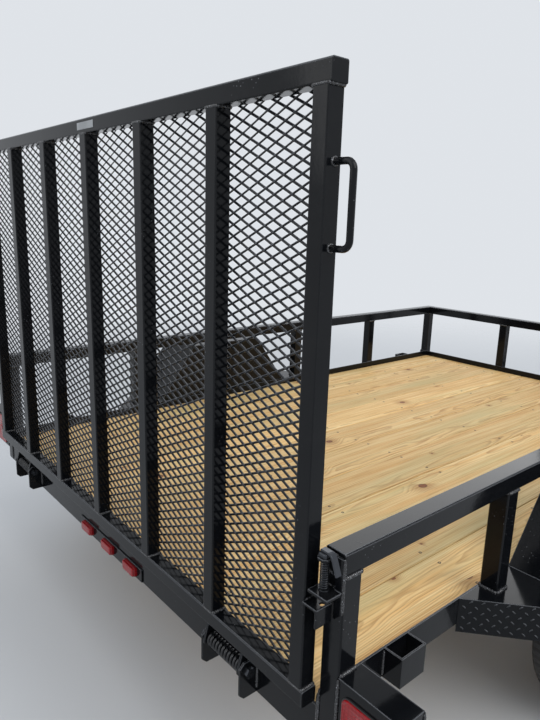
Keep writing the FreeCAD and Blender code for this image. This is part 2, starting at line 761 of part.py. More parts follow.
def spring_hangers():
    """Brackets under the frame, as (bolt X, bolt Z, roof aft of it, roof fore, foot half width, foot Z)."""
    y0 = SPRING_Y - SPRING_WIDE / 2 - HANGER_SIDE_GAP
    y1 = SPRING_Y + SPRING_WIDE / 2 + HANGER_SIDE_GAP
    roof = FRAME_BOTTOM - HANGER_PLATE
    eye_x = AXLE_X + SPRING_HALF
    slip_x = AXLE_X - SPRING_HALF + SLIPPER_IN
    slip_z = EYE_Z - 2 * LEAF - SPRING_BOLT_R
    table = (
        (eye_x, EYE_Z, 40.0, 30.0, 20.0, EYE_Z - 22.0),
        (slip_x, slip_z, 45.0, 40.0, 22.0, EYE_Z - 34.0),
    )
    hangers = []
    for x, z, aft, fore, foot, low in table:
        pieces = [box(x - aft, x + fore, y0 - HANGER_PLATE, y1 + HANGER_PLATE, roof, FRAME_BOTTOM)]
        for near, far, head in ((y0 - HANGER_PLATE, y0, y0 - HANGER_PLATE - BOLT_HEAD),
                                (y1, y1 + HANGER_PLATE, y1 + HANGER_PLATE)):
            side = ((x - aft, roof), (x + fore, roof), (x + foot, low), (x - foot, low))
            pieces.append(profile_along_y(side, near, far))
            pieces.append(hexagon_along_y(x, z, head, head + BOLT_HEAD, BOLT_HEAD_R))
        pieces.append(rod(V(x, y0 - HANGER_PLATE / 2, z), V(x, y1 + HANGER_PLATE / 2, z), SPRING_BOLT_R))
        hangers.extend(both_sides(fuse(pieces)))
    return hangers


def u_bolt(y, inner, outer, tip):
    """Flat-sided bolt bent round the axle, its two legs upwards."""
    bend = math.tan(math.pi / 8)
    path = ((-1.0, None), (-1.0, -bend), (-bend, -1.0), (bend, -1.0), (1.0, -bend), (1.0, None))

    def side(r):
        return [(AXLE_X + a * r, tip if b is None else AXLE_Z + b * r) for a, b in path]

    return profile_along_y(side(outer) + side(inner)[::-1], y, y + U_BOLT)


def spring_clamps():
    """A tie plate over each spring, with two bolts bent round the axle and their nuts."""
    inner = AXLE_R + BEAD_SEAT
    outer = inner + U_BOLT
    near = SPRING_WIDE / 2 + HANGER_SIDE_GAP
    far = near + U_BOLT
    low = PACK_TOP + TIE_PLATE_GAP
    top = low + TIE_PLATE
    half_x = outer + TIE_PLATE_EDGE
    half_y = far + TIE_PLATE_EDGE
    pieces = [box(AXLE_X - half_x, AXLE_X + half_x, SPRING_Y - half_y, SPRING_Y + half_y, low, top)]
    nut_half = U_BOLT * 0.8
    for y in (SPRING_Y - far, SPRING_Y + near):
        pieces.append(u_bolt(y, inner, outer, top + U_BOLT_STICKS_OUT))
        for x in (AXLE_X - (inner + outer) / 2, AXLE_X + (inner + outer) / 2):
            pieces.append(bevelled_bar(V(x, y + U_BOLT / 2, top), V(0, 0, nut_half), V(1, 0, 0), V(0, 1, 0),
                                       2 * nut_half, 2 * nut_half, nut_half / 2))
    return both_sides(fuse(pieces))


def wheel_turned(points, y):
    """Solid turned about the axle from (radius, offset along the axle) corners."""
    wire = Part.makePolygon([V(AXLE_X, y + b, AXLE_Z + a) for a, b in points + [points[0]]])
    return Part.Face(wire).revolve(V(AXLE_X, y, AXLE_Z), V(0, 1, 0), 360)


def tyre():
    """Trailer tyre on its rim: flat tread, sloped shoulders and a recess for the rim's flange."""
    half = TYRE_WIDE / 2
    bead = RIM_WIDE / 2 - 1.0
    seat = RIM_R + BEAD_SEAT
    recess = RIM_R + RIM_FLANGE + TYRE_RECESS_PLAY
    side = [(TYRE_R, TREAD_HALF), (SHOULDER_R, half), (recess, half), (recess, bead), (seat, bead)]
    return wheel_turned(side + [(r, -b) for r, b in reversed(side)], WHEEL_Y)


def rim():
    """Steel wheel: a barrel with flanges and a dished disc with a ring of windows."""
    w = RIM_WIDE / 2
    t = RIM_SHEET
    lip = RIM_R + RIM_FLANGE
    inner = RIM_R - RIM_THICK
    outline = [(RIM_BORE_R, 0.0), (DISC_FLAT_R, 0.0), (DISC_FLAT_R, DISC_RISE), (inner, DISC_RISE),
               (inner, w + t), (lip, w + t), (RIM_R, w), (RIM_R, -w), (lip, -w - t), (inner, -w - t),
               (inner, -t), (RIM_BORE_R, -t)]
    cuts = []
    for n in range(WINDOW_COUNT):
        middle = (n + 0.5) * 360.0 / WINDOW_COUNT
        corners = []
        for r, turn in WINDOW_CORNERS:
            a = math.radians(middle + turn)
            corners.append((AXLE_X + r * math.cos(a), AXLE_Z + r * math.sin(a)))
        cuts.append(profile_along_y(corners, WHEEL_Y - t, WHEEL_Y + DISC_RISE))
    return wheel_turned(outline, WHEEL_Y).cut(Part.makeCompound(cuts))


def hub():
    """Hub behind the disc with its flange and cap, and the wheel nuts on the disc's face."""
    back = WHEEL_Y - RIM_SHEET
    bore = SPINDLE_R + RUN_CLEARANCE
    deep = SPINDLE_OUT + 2 * RIM_SHEET
    outline = [(bore, -HUB_DEEP), (HUB_R, -HUB_DEEP), (HUB_R, 0.0), (CAP_R, 0.0), (CAP_R, CAP_TALL),
               (0.0, CAP_TALL), (0.0, deep), (bore, deep)]
    corners = []
    nuts = []
    for n in range(2 * STUD_COUNT):
        a = math.radians(90.0 + n * 180.0 / STUD_COUNT)
        corners.append((AXLE_X + HUB_FLANGE_R * math.cos(a), AXLE_Z + HUB_FLANGE_R * math.sin(a)))
        if n % 2 == 0:
            x = AXLE_X + STUD_CIRCLE_R * math.cos(a)
            z = AXLE_Z + STUD_CIRCLE_R * math.sin(a)
            nuts.append(hexagon_along_y(x, z, WHEEL_Y, WHEEL_Y + NUT_TALL, NUT_R))
    flange = profile_along_y(corners, back - HUB_FLANGE, back)
    flange = flange.cut(rod(V(AXLE_X, back - HUB_FLANGE, AXLE_Z), V(AXLE_X, back, AXLE_Z), CAP_R))
    return [fuse([wheel_turned(outline, back), flange])] + nuts


# Fenders

def fender():
    """Left fender: bent sheet with a step at each end, an inner back and an arched outer face."""
    s = FENDER_SHEET
    c = AXLE_X
    outer = [(c - STEP_HALF, LIP), (c - FENDER_SLOPE_HALF, LIP), (c - FENDER_TOP_HALF, FENDER_TOP),
             (c + FENDER_TOP_HALF, FENDER_TOP), (c + FENDER_SLOPE_HALF, LIP), (c + STEP_HALF, LIP)]
    slope = math.atan2(FENDER_TOP - LIP, FENDER_SLOPE_HALF - FENDER_TOP_HALF)
    shift = s * math.tan(slope / 2)
    inner = [(c + STEP_HALF, LIP - s), (c + FENDER_SLOPE_HALF - shift, LIP - s),
             (c + FENDER_TOP_HALF - shift, FENDER_TOP - s), (c - FENDER_TOP_HALF + shift, FENDER_TOP - s),
             (c - FENDER_SLOPE_HALF + shift, LIP - s), (c - STEP_HALF, LIP - s)]
    sheet = profile_along_y(outer + inner, FRAME_Y, FENDER_Y)
    plan = [V(c + a, b, SKIRT_BOTTOM) for a, b in
            ((-STEP_HALF, FRAME_Y), (-STEP_CORNER_HALF, FENDER_Y),
             (STEP_CORNER_HALF, FENDER_Y), (STEP_HALF, FRAME_Y))]
    sheet = sheet.common(polygon_prism(plan, V(0, 0, FENDER_TOP - SKIRT_BOTTOM)))

    over = outer[1:5]
    back = [(c - FENDER_SLOPE_HALF, FRAME_BOTTOM), (c + FENDER_SLOPE_HALF, FRAME_BOTTOM)] + over[::-1]
    back = profile_along_y(back, FRAME_Y, FRAME_Y + s)

    face = [(c - STEP_CORNER_HALF, SKIRT_BOTTOM), (c - STEP_CORNER_HALF, LIP)] + over
    face = face + [(c + STEP_CORNER_HALF, LIP), (c + STEP_CORNER_HALF, SKIRT_BOTTOM)]
    face = profile_along_y(face, FENDER_Y - s, FENDER_Y)
    face = face.cut(rod(V(c, FENDER_Y - 2 * s, AXLE_Z), V(c, FENDER_Y + s, AXLE_Z), ARCH_R))

    skirts = []
    for side in (-1, 1):
        a = V(c + side * STEP_HALF, FRAME_Y, SKIRT_BOTTOM)
        b = V(c + side * STEP_CORNER_HALF, FENDER_Y, SKIRT_BOTTOM)
        along = (b - a).normalize()
        inward = V(along.y * side, -along.x * side, 0) * -s
        skirts.append(polygon_prism([a, b, b + inward, a + inward], V(0, 0, LIP - SKIRT_BOTTOM)))
    keep = box(c - STEP_HALF, c + STEP_HALF, FRAME_Y, FENDER_Y, SKIRT_BOTTOM, FENDER_TOP)
    return fuse([sheet, back, face] + skirts).common(keep)


# Lamps

def light_boxes():
    """Sheet boxes outside the rear uprights, open in front, cut for the tail lamps."""
    s = BOX_SHEET
    x1 = SILL_X + BOX_DEEP
    y1 = OUTER_Y + BOX_WIDE
    shell = box(SILL_X, x1, OUTER_Y, y1, BOX_BOTTOM, BOX_TOP)
    hollow = box(SILL_X + s, x1, OUTER_Y + s, y1 - s, BOX_BOTTOM + s, BOX_TOP - s)
    lens_y = OUTER_Y + LENS_INSET_Y
    hole = box(SILL_X, SILL_X + s, lens_y + LENS_LAP, lens_y + LENS_SIDE - LENS_LAP,
               LENS_TOP - LENS_SIDE + LENS_LAP, LENS_TOP - LENS_LAP)
    return both_sides(shell.cut(hollow).cut(hole))


def tail_lamps():
    """Square lenses with round corners, seated over the holes of their boxes."""
    y = OUTER_Y + LENS_INSET_Y + LENS_SIDE / 2
    z = LENS_TOP - LENS_SIDE / 2
    outline = rounded_outline(V(SILL_X - LENS_PROUD, y, z), LENS_SIDE, LENS_SIDE, V(0, 1, 0), V(0, 0, 1),
                              LENS_CORNER)
    lens = Part.Face(outline).extrude(V(LENS_PROUD, 0, 0))
    half = LENS_SIDE / 2 - LENS_LAP - 1.0
    body = box(SILL_X, SILL_X + LAMP_BODY_DEEP, y - half, y + half, z - half, z + half)
    return both_sides(fuse([lens, body]))


def id_lamp_bar():
    """Plate across the sill's lower edge that carries the three small lamps."""
    return box(SILL_X - ID_BAR_THICK, SILL_X, -ID_BAR_LONG / 2, ID_BAR_LONG / 2,
               ID_Z - ID_BAR_TALL / 2, ID_Z + ID_BAR_TALL / 2)


def id_lamps():
    face = SILL_X - ID_BAR_THICK - ID_DEEP
    return [bevelled_bar(V(face, n * ID_PITCH, ID_Z), V(ID_DEEP, 0, 0), V(0, 1, 0), V(0, 0, 1),
                         ID_LONG, ID_TALL, SMALL_LAMP_BEVEL) for n in (-1, 0, 1)]


def side_markers():
    """Small lamps on the frame's outer faces, near the front."""
    middle = V(BED_LENGTH - MARKER_FROM_FRONT, FRAME_Y, (LIP + FRAME_BOTTOM) / 2)
    return both_sides(bevelled_bar(middle, V(0, MARKER_DEEP, 0), V(1, 0, 0), V(0, 0, 1),
                                   MARKER_LONG, MARKER_TALL, SMALL_LAMP_BEVEL))


# Tongue, coupler and jack

def tongue_channels():
    """Two channels that run from under the bed to the coupler, open sides outwards."""
    angle = math.radians(TONGUE_HALF_ANGLE)
    aft = CROSS_LAST_X - CROSS_PITCH - TONGUE_PAST_CROSS
    length = (NOSE_X - aft) / math.cos(angle) + CHANNEL_TALL
    t = CHANNEL_WALL
    w = CHANNEL_WIDE
    tall = CHANNEL_TALL
    outline = [(0, 0), (w, 0), (w, t), (t, t), (t, tall - t), (w, tall - t), (w, tall), (0, tall)]
    channel = polygon_prism([V(0, a, CHANNEL_BOTTOM + b) for a, b in outline], V(-length, 0, 0))
    channel.rotate(V(0, 0, 0), V(0, 0, 1), -TONGUE_HALF_ANGLE)
    channel.translate(V(NOSE_X, TONGUE_NOSE_HALF, 0))
    trim = box(aft, NOSE_X, 0, BED_WIDTH, CHANNEL_BOTTOM, CHANNEL_TOP)
    return both_sides(channel.common(trim))


def coupler():
    """A-frame coupler: folded plate over the channels' ends and a socket for the ball."""
    back = NOSE_X - COUPLER_LAP
    spread = TONGUE_NOSE_HALF + COUPLER_LAP * math.tan(math.radians(TONGUE_HALF_ANGLE))
    top = CHANNEL_TOP
    low = top + COUPLER_PLATE - SOCKET_DEEP - COUPLER_WALL
    r = COUPLER_NOSE_R
    plate = ((back, -spread), (back, spread), (NOSE_X, TONGUE_NOSE_HALF), (BALL_X, r), (BALL_X, -r),
             (NOSE_X, -TONGUE_NOSE_HALF))
    neck = ((NOSE_X - 2.0, 2.0 - TONGUE_NOSE_HALF), (NOSE_X - 2.0, TONGUE_NOSE_HALF - 2.0), (BALL_X, r - 8.0),
            (BALL_X, 8.0 - r))
    body = fuse([
        polygon_prism([V(x, y, top) for x, y in plate], V(0, 0, COUPLER_PLATE)),
        polygon_prism([V(x, y, top - COUPLER_NECK) for x, y in neck], V(0, 0, COUPLER_NECK)),
        Part.makeCylinder(r, SOCKET_DEEP + COUPLER_WALL, V(BALL_X, 0, low)),
    ])
    return body.cut(Part.makeCylinder(BALL_R + SOCKET_CLEARANCE, SOCKET_DEEP, V(BALL_X, 0, low)))


def coupler_latch():
    """Lever over the coupler, folded down behind the socket."""
    top = CHANNEL_TOP + COUPLER_PLATE
    x = BALL_X - LEVER_BACK
    half = LEVER_BASE / 2
    base = box(x - half, x + half, -half - 2.0, half + 2.0, top, top + 16.0)
    tail = x - LEVER_LONG
    lever = profile_along_y([(tail, top + 30.0), (tail + 2.0, top + 24.0), (x - half, top + 12.0),
                             (x + half + 2.0, top + 12.0), (x + half + 2.0, top + 22.0),
                             (x - half + 2.0, top + 24.0)], -LEVER_WIDE / 2, LEVER_WIDE / 2)
    return fuse([base, lever])


def jack_housing():
    """Jack mast on a plate across the channels."""
    top = CHANNEL_TOP
    slope = math.tan(math.radians(TONGUE_HALF_ANGLE))
    half = TONGUE_NOSE_HALF + 10.0 + (JACK_BACK - TONGUE_NOSE_BACK) * slope
    spread = JACK_PLATE_HALF * slope
    aft = JACK_X - JACK_PLATE_HALF
    fore = JACK_X + JACK_PLATE_HALF
    plate = ((aft, -half - spread), (aft, half + spread), (fore, half - spread), (fore, spread - half))
    flange = polygon_prism([V(x, y, top) for x, y in plate], V(0, 0, JACK_PLATE))
    mast = rod(V(JACK_X, 0, JACK_TUBE_BOTTOM), V(JACK_X, 0, JACK_TOP), JACK_TUBE_R)
    cap = rod(V(JACK_X, 0, JACK_TOP - JACK_CAP), V(JACK_X, 0, JACK_TOP), JACK_TUBE_R + JACK_CAP_LIP)
    bore = rod(V(JACK_X, 0, JACK_TUBE_BOTTOM), V(JACK_X, 0, JACK_TOP - JACK_CAP), JACK_LEG_R + JACK_CLEARANCE)
    return fuse([flange, mast, cap]).cut(bore)


def jack_crank():
    """Side crank with an upright grip on the jack's top."""
    z = JACK_TOP + CRANK_ABOVE
    end_x = JACK_X - CRANK_REACH
    stem = rod(V(JACK_X, 0, JACK_TOP), V(JACK_X, 0, z + CRANK_R * 1.6), CRANK_R * 1.6)
    arm = rod(V(JACK_X, 0, z), V(end_x, 0, z), CRANK_R)
    grip = rod(V(end_x, 0, z - CRANK_R * 1.4), V(end_x, 0, z + GRIP_LONG), GRIP_R)
    return fuse([stem, arm, grip])


def jack_leg():
    """Inner leg with a foot plate on the ground."""
    ground = -DECK_HEIGHT
    foot = box(JACK_X - JACK_FOOT_HALF, JACK_X + JACK_FOOT_HALF, -JACK_FOOT_HALF, JACK_FOOT_HALF,
               ground, ground + JACK_FOOT_THICK)
    leg = rod(V(JACK_X, 0, ground), V(JACK_X, 0, JACK_LEG_TOP), JACK_LEG_R)
    return fuse([foot, leg])


PIECES = (
    ("side_rails", side_rails, False),
    ("rear_sill", rear_sill, False),
    ("front_header", front_header, False),
    ("crossmembers", crossmembers, False),
    ("deck_boards", deck_boards, False),
    ("top_rails_side", side_top_rails, False),
    ("top_rail_front", front_top_rail, False),
    ("uprights", uprights, False),
    ("stake_pockets", stake_pockets, False),
    ("gate_rails", gate_rails, False),
    ("gate_posts", gate_posts, False),
    ("gate_bars", gate_bars, False),
    ("gate_mesh", gate_mesh, False),
    ("gate_handles", gate_handles, False),
    ("gate_label", gate_label, False),
    ("gate_ears", gate_ears, False),
    ("frame_ears", frame_ears, False),
    ("hinge_pins", hinge_pins, False),
    ("hinge_springs", hinge_springs, False),
    ("latch_brackets", latch_brackets, False),
    ("latch_pins", latch_pins, False),
    ("latch_tabs", latch_tabs, False),
    ("axle_beam", axle_beam, False),
    ("leaf_springs", leaf_springs, False),
    ("spring_hangers", spring_hangers, False),
    ("spring_clamps", spring_clamps, False),
    ("tyre_left", tyre, False),
    ("tyre_right", tyre, True),
    ("rim_left", rim, False),
    ("rim_right", rim, True),
    ("hub_left", hub, False),
    ("hub_right", hub, True),
    ("fender_left", fender, False),
    ("fender_right", fender, True),
    ("light_boxes", light_boxes, False),
    ("tail_lamps", tail_lamps, False),
    ("id_lamp_bar", id_lamp_bar, False),
    ("id_lamps", id_lamps, False),
    ("side_markers", side_markers, False),
    ("tongue_channels", tongue_channels, False),
    ("coupler", coupler, False),
    ("coupler_latch", coupler_latch, False),
    ("jack_housing", jack_housing, False),
    ("jack_crank", jack_crank, False),
    ("jack_leg", jack_leg, False),
)


def main():
    """Build every piece and write it to its own file."""
    os.makedirs("parts", exist_ok=True)
    for name, build, on_the_right in PIECES:
        made = build()
        solids = made if isinstance(made, list) else [made]
        if on_the_right:
            solids = [mirrored(solid) for solid in solids]
        shape = solids[0] if len(solids) == 1 else Part.makeCompound(solids)
        shape.translate(TO_ORIGIN)
        shape.exportStep(os.path.join("parts", name + ".step"))
        print(name, len(shape.Solids), "solids, valid", shape.isValid())


main()
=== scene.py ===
"""Finish of a single-axle utility trailer with a wood deck and a mesh ramp gate.

Every piece is built in metres in the trailer's own frame: +X runs forwards to the
hitch, +Y to its left and +Z up, with the ground at Z = 0.
"""

import logging
import math
import random
from dataclasses import dataclass, field
from enum import Enum
from typing import Callable, Iterable, Optional, Sequence, Union

import bpy
from mathutils import Matrix, Vector


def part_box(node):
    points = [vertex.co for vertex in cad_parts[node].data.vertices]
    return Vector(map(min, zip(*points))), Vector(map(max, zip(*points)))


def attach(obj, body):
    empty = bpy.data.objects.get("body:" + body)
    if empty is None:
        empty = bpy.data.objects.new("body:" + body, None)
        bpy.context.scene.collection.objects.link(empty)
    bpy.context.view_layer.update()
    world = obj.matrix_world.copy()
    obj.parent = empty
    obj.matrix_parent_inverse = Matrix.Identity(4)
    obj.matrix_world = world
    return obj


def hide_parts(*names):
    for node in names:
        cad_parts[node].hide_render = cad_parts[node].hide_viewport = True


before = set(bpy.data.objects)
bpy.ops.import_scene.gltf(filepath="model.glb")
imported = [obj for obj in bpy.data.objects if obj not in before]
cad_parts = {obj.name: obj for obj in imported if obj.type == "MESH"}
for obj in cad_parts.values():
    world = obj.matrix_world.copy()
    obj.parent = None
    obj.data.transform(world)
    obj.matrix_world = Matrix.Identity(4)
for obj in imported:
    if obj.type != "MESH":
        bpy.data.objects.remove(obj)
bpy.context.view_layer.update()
LOG = logging.getLogger("trailer")

FORWARD = Vector((1, 0, 0))
LEFT = Vector((0, 1, 0))
UP = Vector((0, 0, 1))

Point = Sequence[float]
Span = Union[float, tuple[float, float]]
Colour = tuple[float, float, float]


class Flavour(Enum):
    """What a shader socket carries."""

    VALUE = "value"
    VECTOR = "vector"
    COLOUR = "colour"


class Slot(Enum):
    """Names of material slots that new pieces are given; nothing here reads them."""

    PAINT = "black_paint"
    WOOD = "deck_wood"
    TYRE = "tyre_rubber"
    STEEL = "bare_steel"
    RED = "red_lens"
    AMBER = "amber_lens"


# Shader language


def operation(word: str, reflected: bool = False) -> Callable[["Signal", object], "Signal"]:
    """Make the method behind one operator of a signal.

    Args:
        word: Name of the operation, as the Math node spells it.
        reflected: Whether the signal is the right operand.

    Returns:
        The method.
    """
    def method(self: "Signal", other: object) -> "Signal":
        """Join the signal and the other operand."""
        return self.join(word, other, self) if reflected else self.join(word, self, other)

    return method


class Signal:
    """A shader socket that takes part in Python expressions."""

    def __init__(self, graph: "Graph", socket: bpy.types.NodeSocket, flavour: Flavour) -> None:
        """Wrap one output socket.

        Args:
            graph: The tree that it belongs to.
            socket: The output socket.
            flavour: What it carries.
        """
        self.graph = graph
        self.socket = socket
        self.flavour = flavour

    def join(self, word: str, first: object, second: object) -> "Signal":
        """Add the node for one operation on two operands.

        Args:
            word: Name of the operation, as the Math node spells it.
            first: Left operand.
            second: Right operand.

        Returns:
            The result, a vector if either operand is one.
        """
        pair = (first, second)
        if Flavour.VECTOR not in [side.flavour for side in pair if isinstance(side, Signal)]:
            return self.graph.add("ShaderNodeMath", {"operation": word}, {0: first, 1: second})
        vectors = [(side,) * 3 if isinstance(side, (int, float)) else side for side in pair]
        return self.graph.add("ShaderNodeVectorMath", {"operation": word}, dict(enumerate(vectors)),
                              flavour=Flavour.VECTOR)

    __add__, __radd__ = operation("ADD"), operation("ADD", True)
    __sub__, __rsub__ = operation("SUBTRACT"), operation("SUBTRACT", True)
    __mul__, __rmul__ = operation("MULTIPLY"), operation("MULTIPLY", True)
    __truediv__, __rtruediv__ = operation("DIVIDE"), operation("DIVIDE", True)
    __pow__, __rpow__ = operation("POWER"), operation("POWER", True)

    def maths(self, word: str, other: object = 0.0) -> "Signal":
        """Any other Math operation, such as PINGPONG or FRACT."""
        return self.join(word, self, other)

    def ramp(self, low: float, high: float, to_low: float = 0.0, to_high: float = 1.0) -> "Signal":
        """Smooth step of a value from one range to another."""
        sockets = {"Value": self, "From Min": low, "From Max": high, "To Min": to_low, "To Max": to_high}
        return self.graph.add("ShaderNodeMapRange", {"interpolation_type": "SMOOTHSTEP"}, sockets)

    def part(self, axis: int) -> "Signal":
        """One component of a vector."""
        return self.graph.add("ShaderNodeSeparateXYZ", {}, {0: self}, out=axis)

    def length(self) -> "Signal":
        """Length of a vector."""
        return self.graph.add("ShaderNodeVectorMath", {"operation": "LENGTH"}, {0: self}, out="Value")

    def dot(self, other: "Signal") -> "Signal":
        """How far two directions agree."""
        settings = {"operation": "DOT_PRODUCT"}
        return self.graph.add("ShaderNodeVectorMath", settings, {0: self, 1: other}, out="Value")


Feed = Union[Signal, float, Sequence[float]]


class Graph:
    """The node tree of one material or of the world."""

    def __init__(self, owner: Union[bpy.types.Material, bpy.types.World]) -> None:
        """Start with an empty tree.

        Args:
            owner: The material or world that the tree belongs to.
        """
        owner.use_nodes = True
        self.owner = owner
        self.tree = owner.node_tree
        self.tree.nodes.clear()

    def add(self, kind: str, settings: Optional[dict] = None, sockets: Optional[dict] = None,
            out: Union[int, str, None] = 0, flavour: Flavour = Flavour.VALUE) -> Optional[Signal]:
        """Add one node.

        Args:
            kind: The node's type.
            settings: Its own settings, which are set first.
            sockets: Values or signals by socket name or index.
            out: Which output is returned, or None for a node that has none.
            flavour: What that output carries.

        Returns:
            The chosen output.
        """
        node = self.tree.nodes.new(kind)
        for name, value in (settings or {}).items():
            setattr(node, name, value)
        for name, value in (sockets or {}).items():
            self.feed(node.inputs[name], value)
        return None if out is None else Signal(self, node.outputs[out], flavour)

    def feed(self, socket: bpy.types.NodeSocket, value: Feed) -> None:
        """Link a signal to a socket, or set its value.

        Args:
            socket: The socket.
            value: What it gets; a colour may come without its alpha.
        """
        if isinstance(value, Signal):
            self.tree.links.new(value.socket, socket)
        elif isinstance(value, tuple) and socket.type == "RGBA":
            socket.default_value = (*value, 1.0)
        else:
            socket.default_value = value

    def place(self) -> Signal:
        """The point on the object, at rest, in metres."""
        return self.add("ShaderNodeTexCoord", out="Object", flavour=Flavour.VECTOR)

    def facing(self) -> Signal:
        """The surface's direction in the object's own frame."""
        return self.add("ShaderNodeTexCoord", out="Normal", flavour=Flavour.VECTOR)

    def noise(self, where: Signal, scale: float, detail: float = 3.0, rough: float = 0.55) -> Signal:
        """Cloudy noise from 0 to 1."""
        sockets = {"Vector": where, "Scale": scale, "Detail": detail, "Roughness": rough}
        return self.add("ShaderNodeTexNoise", {}, sockets)

    def cells(self, where: Signal, scale: float, out: str = "Distance") -> Signal:
        """Scatter points in space.

        Args:
            where: The place that is looked at.
            scale: How densely they lie.
            out: Distance to the nearest point, or that point's own Color or Position.

        Returns:
            The chosen output.
        """
        flavour = Flavour.VALUE if out == "Distance" else Flavour.VECTOR
        sockets = {"Vector": where, "Scale": scale}
        return self.add("ShaderNodeTexVoronoi", {}, sockets, out=out, flavour=flavour)

    def mix(self, first: Feed, second: Feed, share: Feed) -> Signal:
        """Blend two colours."""
        sockets = {0: share, 6: first, 7: second}
        return self.add("ShaderNodeMix", {"data_type": "RGBA"}, sockets, out=2, flavour=Flavour.COLOUR)

    def attribute(self, name: str) -> Signal:
        """A number stored on the mesh."""
        return self.add("ShaderNodeAttribute", {"attribute_name": name}, out="Fac")

    def rounding(self, radius: float) -> Signal:
        """Surface direction as if every edge were rounded by a radius in metres."""
        return self.add("ShaderNodeBevel", {"samples": 4}, {"Radius": radius}, flavour=Flavour.VECTOR)

    def bump(self, height: Signal, distance: float, strength: float, over: Optional[Signal] = None) -> Signal:
        """Turn a height into a surface direction.

        Args:
            height: The height, from about 0 to 1.
            distance: What a height of 1 is, in metres.
            strength: How much of it shows.
            over: A direction that it is laid over.

        Returns:
            The direction.
        """
        sockets = {"Height": height, "Distance": distance, "Strength": strength}
        sockets.update({"Normal": over} if over else {})
        return self.add("ShaderNodeBump", {}, sockets, flavour=Flavour.VECTOR)

    def surface(self, sockets: dict[str, Feed]) -> bpy.types.Material:
        """Close the tree with one shader, fed by socket name."""
        return self.close(self.add("ShaderNodeBsdfPrincipled", {}, sockets))

    def close(self, shader: Signal) -> Union[bpy.types.Material, bpy.types.World]:
        """Send a shader to the tree's output.

        Args:
            shader: The shader.

        Returns:
            The material or world.
        """
        kind = "World" if isinstance(self.owner, bpy.types.World) else "Material"
        self.add("ShaderNodeOutput" + kind, {}, {"Surface": shader}, out=None)
        return self.owner

    def seen(self) -> Signal:
        """Tell looking from lighting.

        Returns:
            One where the eye, a gloss surface or clear plastic looks, zero where light is gathered.
        """
        rays = [self.add("ShaderNodeLightPath", out=name)
                for name in ("Is Camera Ray", "Is Glossy Ray", "Is Transmission Ray")]
        return rays[0].maths("MAXIMUM", rays[1]).maths("MAXIMUM", rays[2])


# Finishes


def shade(colour: Colour, share: float) -> Colour:
    """A colour made darker or lighter."""
    return tuple(share * c for c in colour)


@dataclass(frozen=True)
class Finish:
    """A named surface finish: here plain moulded plastic, slightly uneven."""

    name: str
    colour: Colour
    gloss_low: float = 0.3
    gloss_high: float = 0.5

    def build(self) -> bpy.types.Material:
        """Make the material once and keep it."""
        known = bpy.data.materials.get(self.name)
        return known if known else self.make(Graph(bpy.data.materials.new(self.name)))

    def roughness(self, cloud: Signal, top: float = 0.7) -> Signal:
        """Roughness that follows clouds between the finish's two values."""
        return cloud.ramp(0.3, top, self.gloss_low, self.gloss_high)

    def make(self, graph: Graph) -> bpy.types.Material:
        """Build the surface.

        Args:
            graph: The material's empty tree.

        Returns:
            The material.
        """
        where = graph.place()
        patches = graph.noise(where, 14.0)
        grain = graph.noise(where, 420.0, 2.0)
        return graph.surface({
            "Base Color": graph.mix(self.colour, shade(self.colour, 0.8), patches.ramp(0.35, 0.7)),
            "Roughness": self.roughness(patches),
            "Normal": graph.bump(grain, 0.0002, 0.4, graph.rounding(0.001)),
        })


@dataclass(frozen=True)
class GlossPaint(Finish):
    """Sprayed gloss paint over mill steel: orange peel, dust that lies on top, weld spatter, and painted
    highlights on edges, spatter and glints.
    """

    dust: Colour = (0.075, 0.072, 0.066)
    # Colour of the painted highlights on edges, spatter beads and glints.
    glare: Colour = (0.3, 0.31, 0.33)
    dusting: float = 0.12
    spatter: float = 0.6
    glints: float = 0.0
    edge: float = 0.0034
    shine: float = 0.2

    def make(self, graph: Graph) -> bpy.types.Material:
        """Build the paint.

        Args:
            graph: The material's empty tree.

        Returns:
            The material.
        """
        where = graph.place()
        peel = graph.noise(where, 140.0, 2.0, 0.4)
        wave = graph.noise(where, 16.0, 2.0, 0.4)
        cloud = graph.noise(where, 5.5, 5.0)
        streak = graph.noise(where * (3.0, 3.0, 26.0), 1.0, 4.0)
        up = graph.facing().part(2).ramp(0.3, 1.0)
        chosen = graph.noise(where, 9.0, 2.0).ramp(0.57, 0.68)
        bead = graph.cells(where, 95.0).ramp(0.16, 0.06) * chosen * self.spatter
        grime = graph.noise(where, 60.0, 6.0, 0.7)
        cover = (cloud * 0.6 + streak * 0.4).ramp(0.4, 0.74) * grime.ramp(0.25, 0.8)
        colour = graph.mix(self.colour, self.dust, cover * (up * 0.6 + 0.4) * self.dusting)
        # The spatter beads are raised by the bump and also get a painted highlight in the glare colour.
        colour = graph.mix(colour, self.glare, bead * 0.6)
        if self.glints:
            # Painted glints: bright flecks mixed into the colour.
            painted_glint_flecks = graph.noise(where, 520.0, 2.0).ramp(0.6, 0.68)
            colour = graph.mix(colour, self.glare, painted_glint_flecks * self.glints)
        over = graph.rounding(self.edge) if self.edge else None
        if over:
            level = graph.add("ShaderNodeNewGeometry", out="Normal", flavour=Flavour.VECTOR)
            # Painted highlight: rounded edges that face upwards are lightened towards the glare colour.
            painted_edge_highlight = over.dot(level).ramp(0.998, 0.94) * over.part(2).ramp(-0.1, 0.6)
            colour = graph.mix(colour, self.glare, painted_edge_highlight * 0.5)
        rough = self.gloss_low + cover * (self.gloss_high - self.gloss_low) + grime.ramp(0.5, 0.9) * 0.03
        return graph.surface({
            "Base Color": colour,
            "Roughness": rough,
            "Normal": graph.bump(peel * 0.35 + wave * 1.6 + bead * 3.0, 0.0004, 0.35, over),
            "IOR": 1.48,
            "Specular IOR Level": self.shine,
        })


